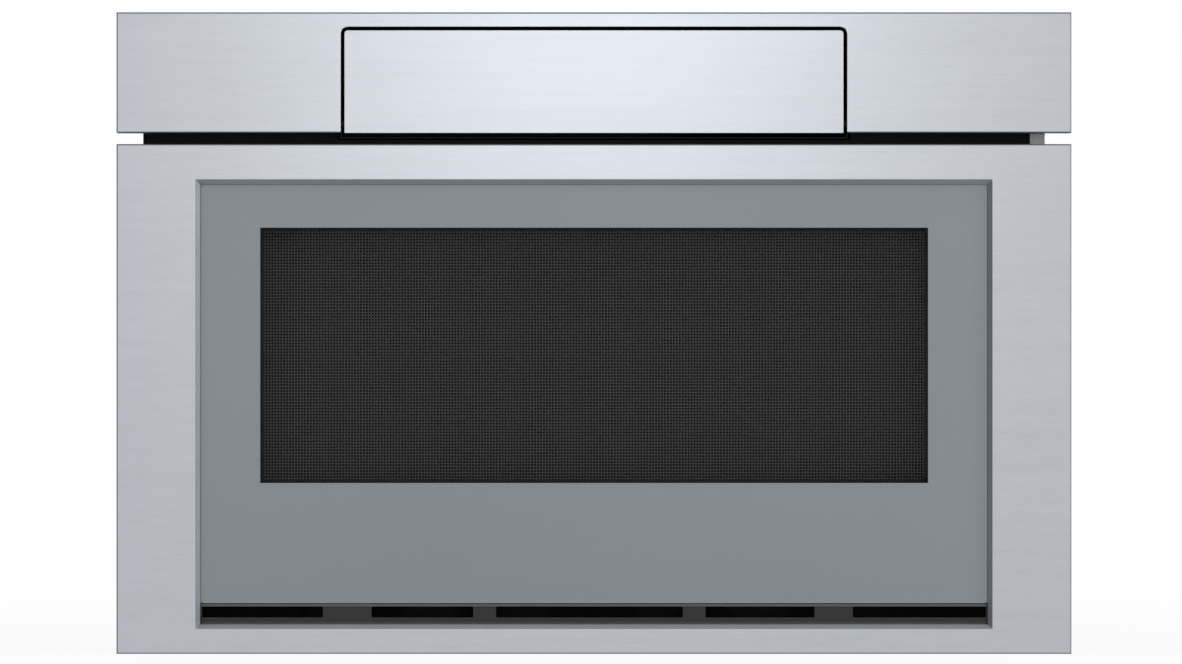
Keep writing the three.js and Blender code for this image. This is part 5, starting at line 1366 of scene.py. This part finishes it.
INKS = [ink_finish("white_ink", (0.62, 0.63, 0.64), 0.0), ink_finish("lit_digits", (0.45, 0.78, 0.82), 0.6)]
WHITE, LIT = range(len(INKS))
print("the print's middle:", [round(v * 1000, 1) for v in slope_place(0).translation], "mm")

# %% Lettering and outlines
def add_words(builder, words, height, place, ink):
    """Adds a line of lettering, centred on the place."""
    curve = bpy.data.curves.new("lettering", "FONT")
    curve.body = words
    curve.size = height
    curve.extrude = INK / 2
    curve.resolution_u = 2
    curve.align_x = "CENTER"
    curve.align_y = "CENTER"
    holder = linked("lettering", curve)
    evaluated = holder.evaluated_get(bpy.context.evaluated_depsgraph_get())
    mesh = bpy.data.meshes.new_from_object(evaluated)
    bpy.data.objects.remove(holder)
    mesh.transform(place)
    before = len(builder.faces)
    builder.from_mesh(mesh)
    builder.faces.ensure_lookup_table()
    for face in builder.faces[before:]:
        face.material_index = ink
    bpy.data.meshes.remove(mesh)


def add_outline(builder, size, line, place):
    """Adds a thin square frame of ink round a key."""
    half = size / 2
    inside = half - line
    sides = (
        ((-half, -inside), (-half, half)),
        ((inside, half), (-half, half)),
        ((-inside, inside), (-half, -inside)),
        ((-inside, inside), (inside, half)),
    )
    for across, upward in sides:
        add_block(builder, across, upward, (-INK / 2, INK / 2), place)


print("ready to letter and outline the keys")

# %% Print on the control glass
KEY_SIZE = 17 * MILLIMETRE
KEY_LINE = 0.35 * MILLIMETRE
KEY_STEP = 24 * MILLIMETRE
FIRST_KEY = 137 * MILLIMETRE  # from the middle to the outermost key, over its touch pad
LETTER_HEIGHT = 4.2 * MILLIMETRE
CLOCK_HEIGHT = 17 * MILLIMETRE
DIGIT_GAP = 4 * MILLIMETRE
KEYS = {  # each side's first digit, and the words on its keys from the outermost inwards
    -1: (1, ("POWER", "TIME", "CLOCK", "TIMER")),
    1: (5, ("START", "STOP", "OPEN", "+30")),
}

lettering = bmesh.new()
for side, (first_digit, words) in KEYS.items():
    for index, word in enumerate(words):
        across = side * (FIRST_KEY - KEY_STEP * index)
        key = slope_place(across)
        add_outline(lettering, KEY_SIZE, KEY_LINE, key)
        add_words(lettering, word, LETTER_HEIGHT, key, WHITE)
        above = slope_place(across, KEY_SIZE / 2 + DIGIT_GAP)
        add_words(lettering, str(first_digit + index), LETTER_HEIGHT, above, WHITE)
add_words(lettering, "12:00", CLOCK_HEIGHT, slope_place(0), LIT)
panel_print = finished_piece("control_print", lettering, INKS)
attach(panel_print, "hatch")
print("print on the control glass:", len(panel_print.data.polygons), "faces")
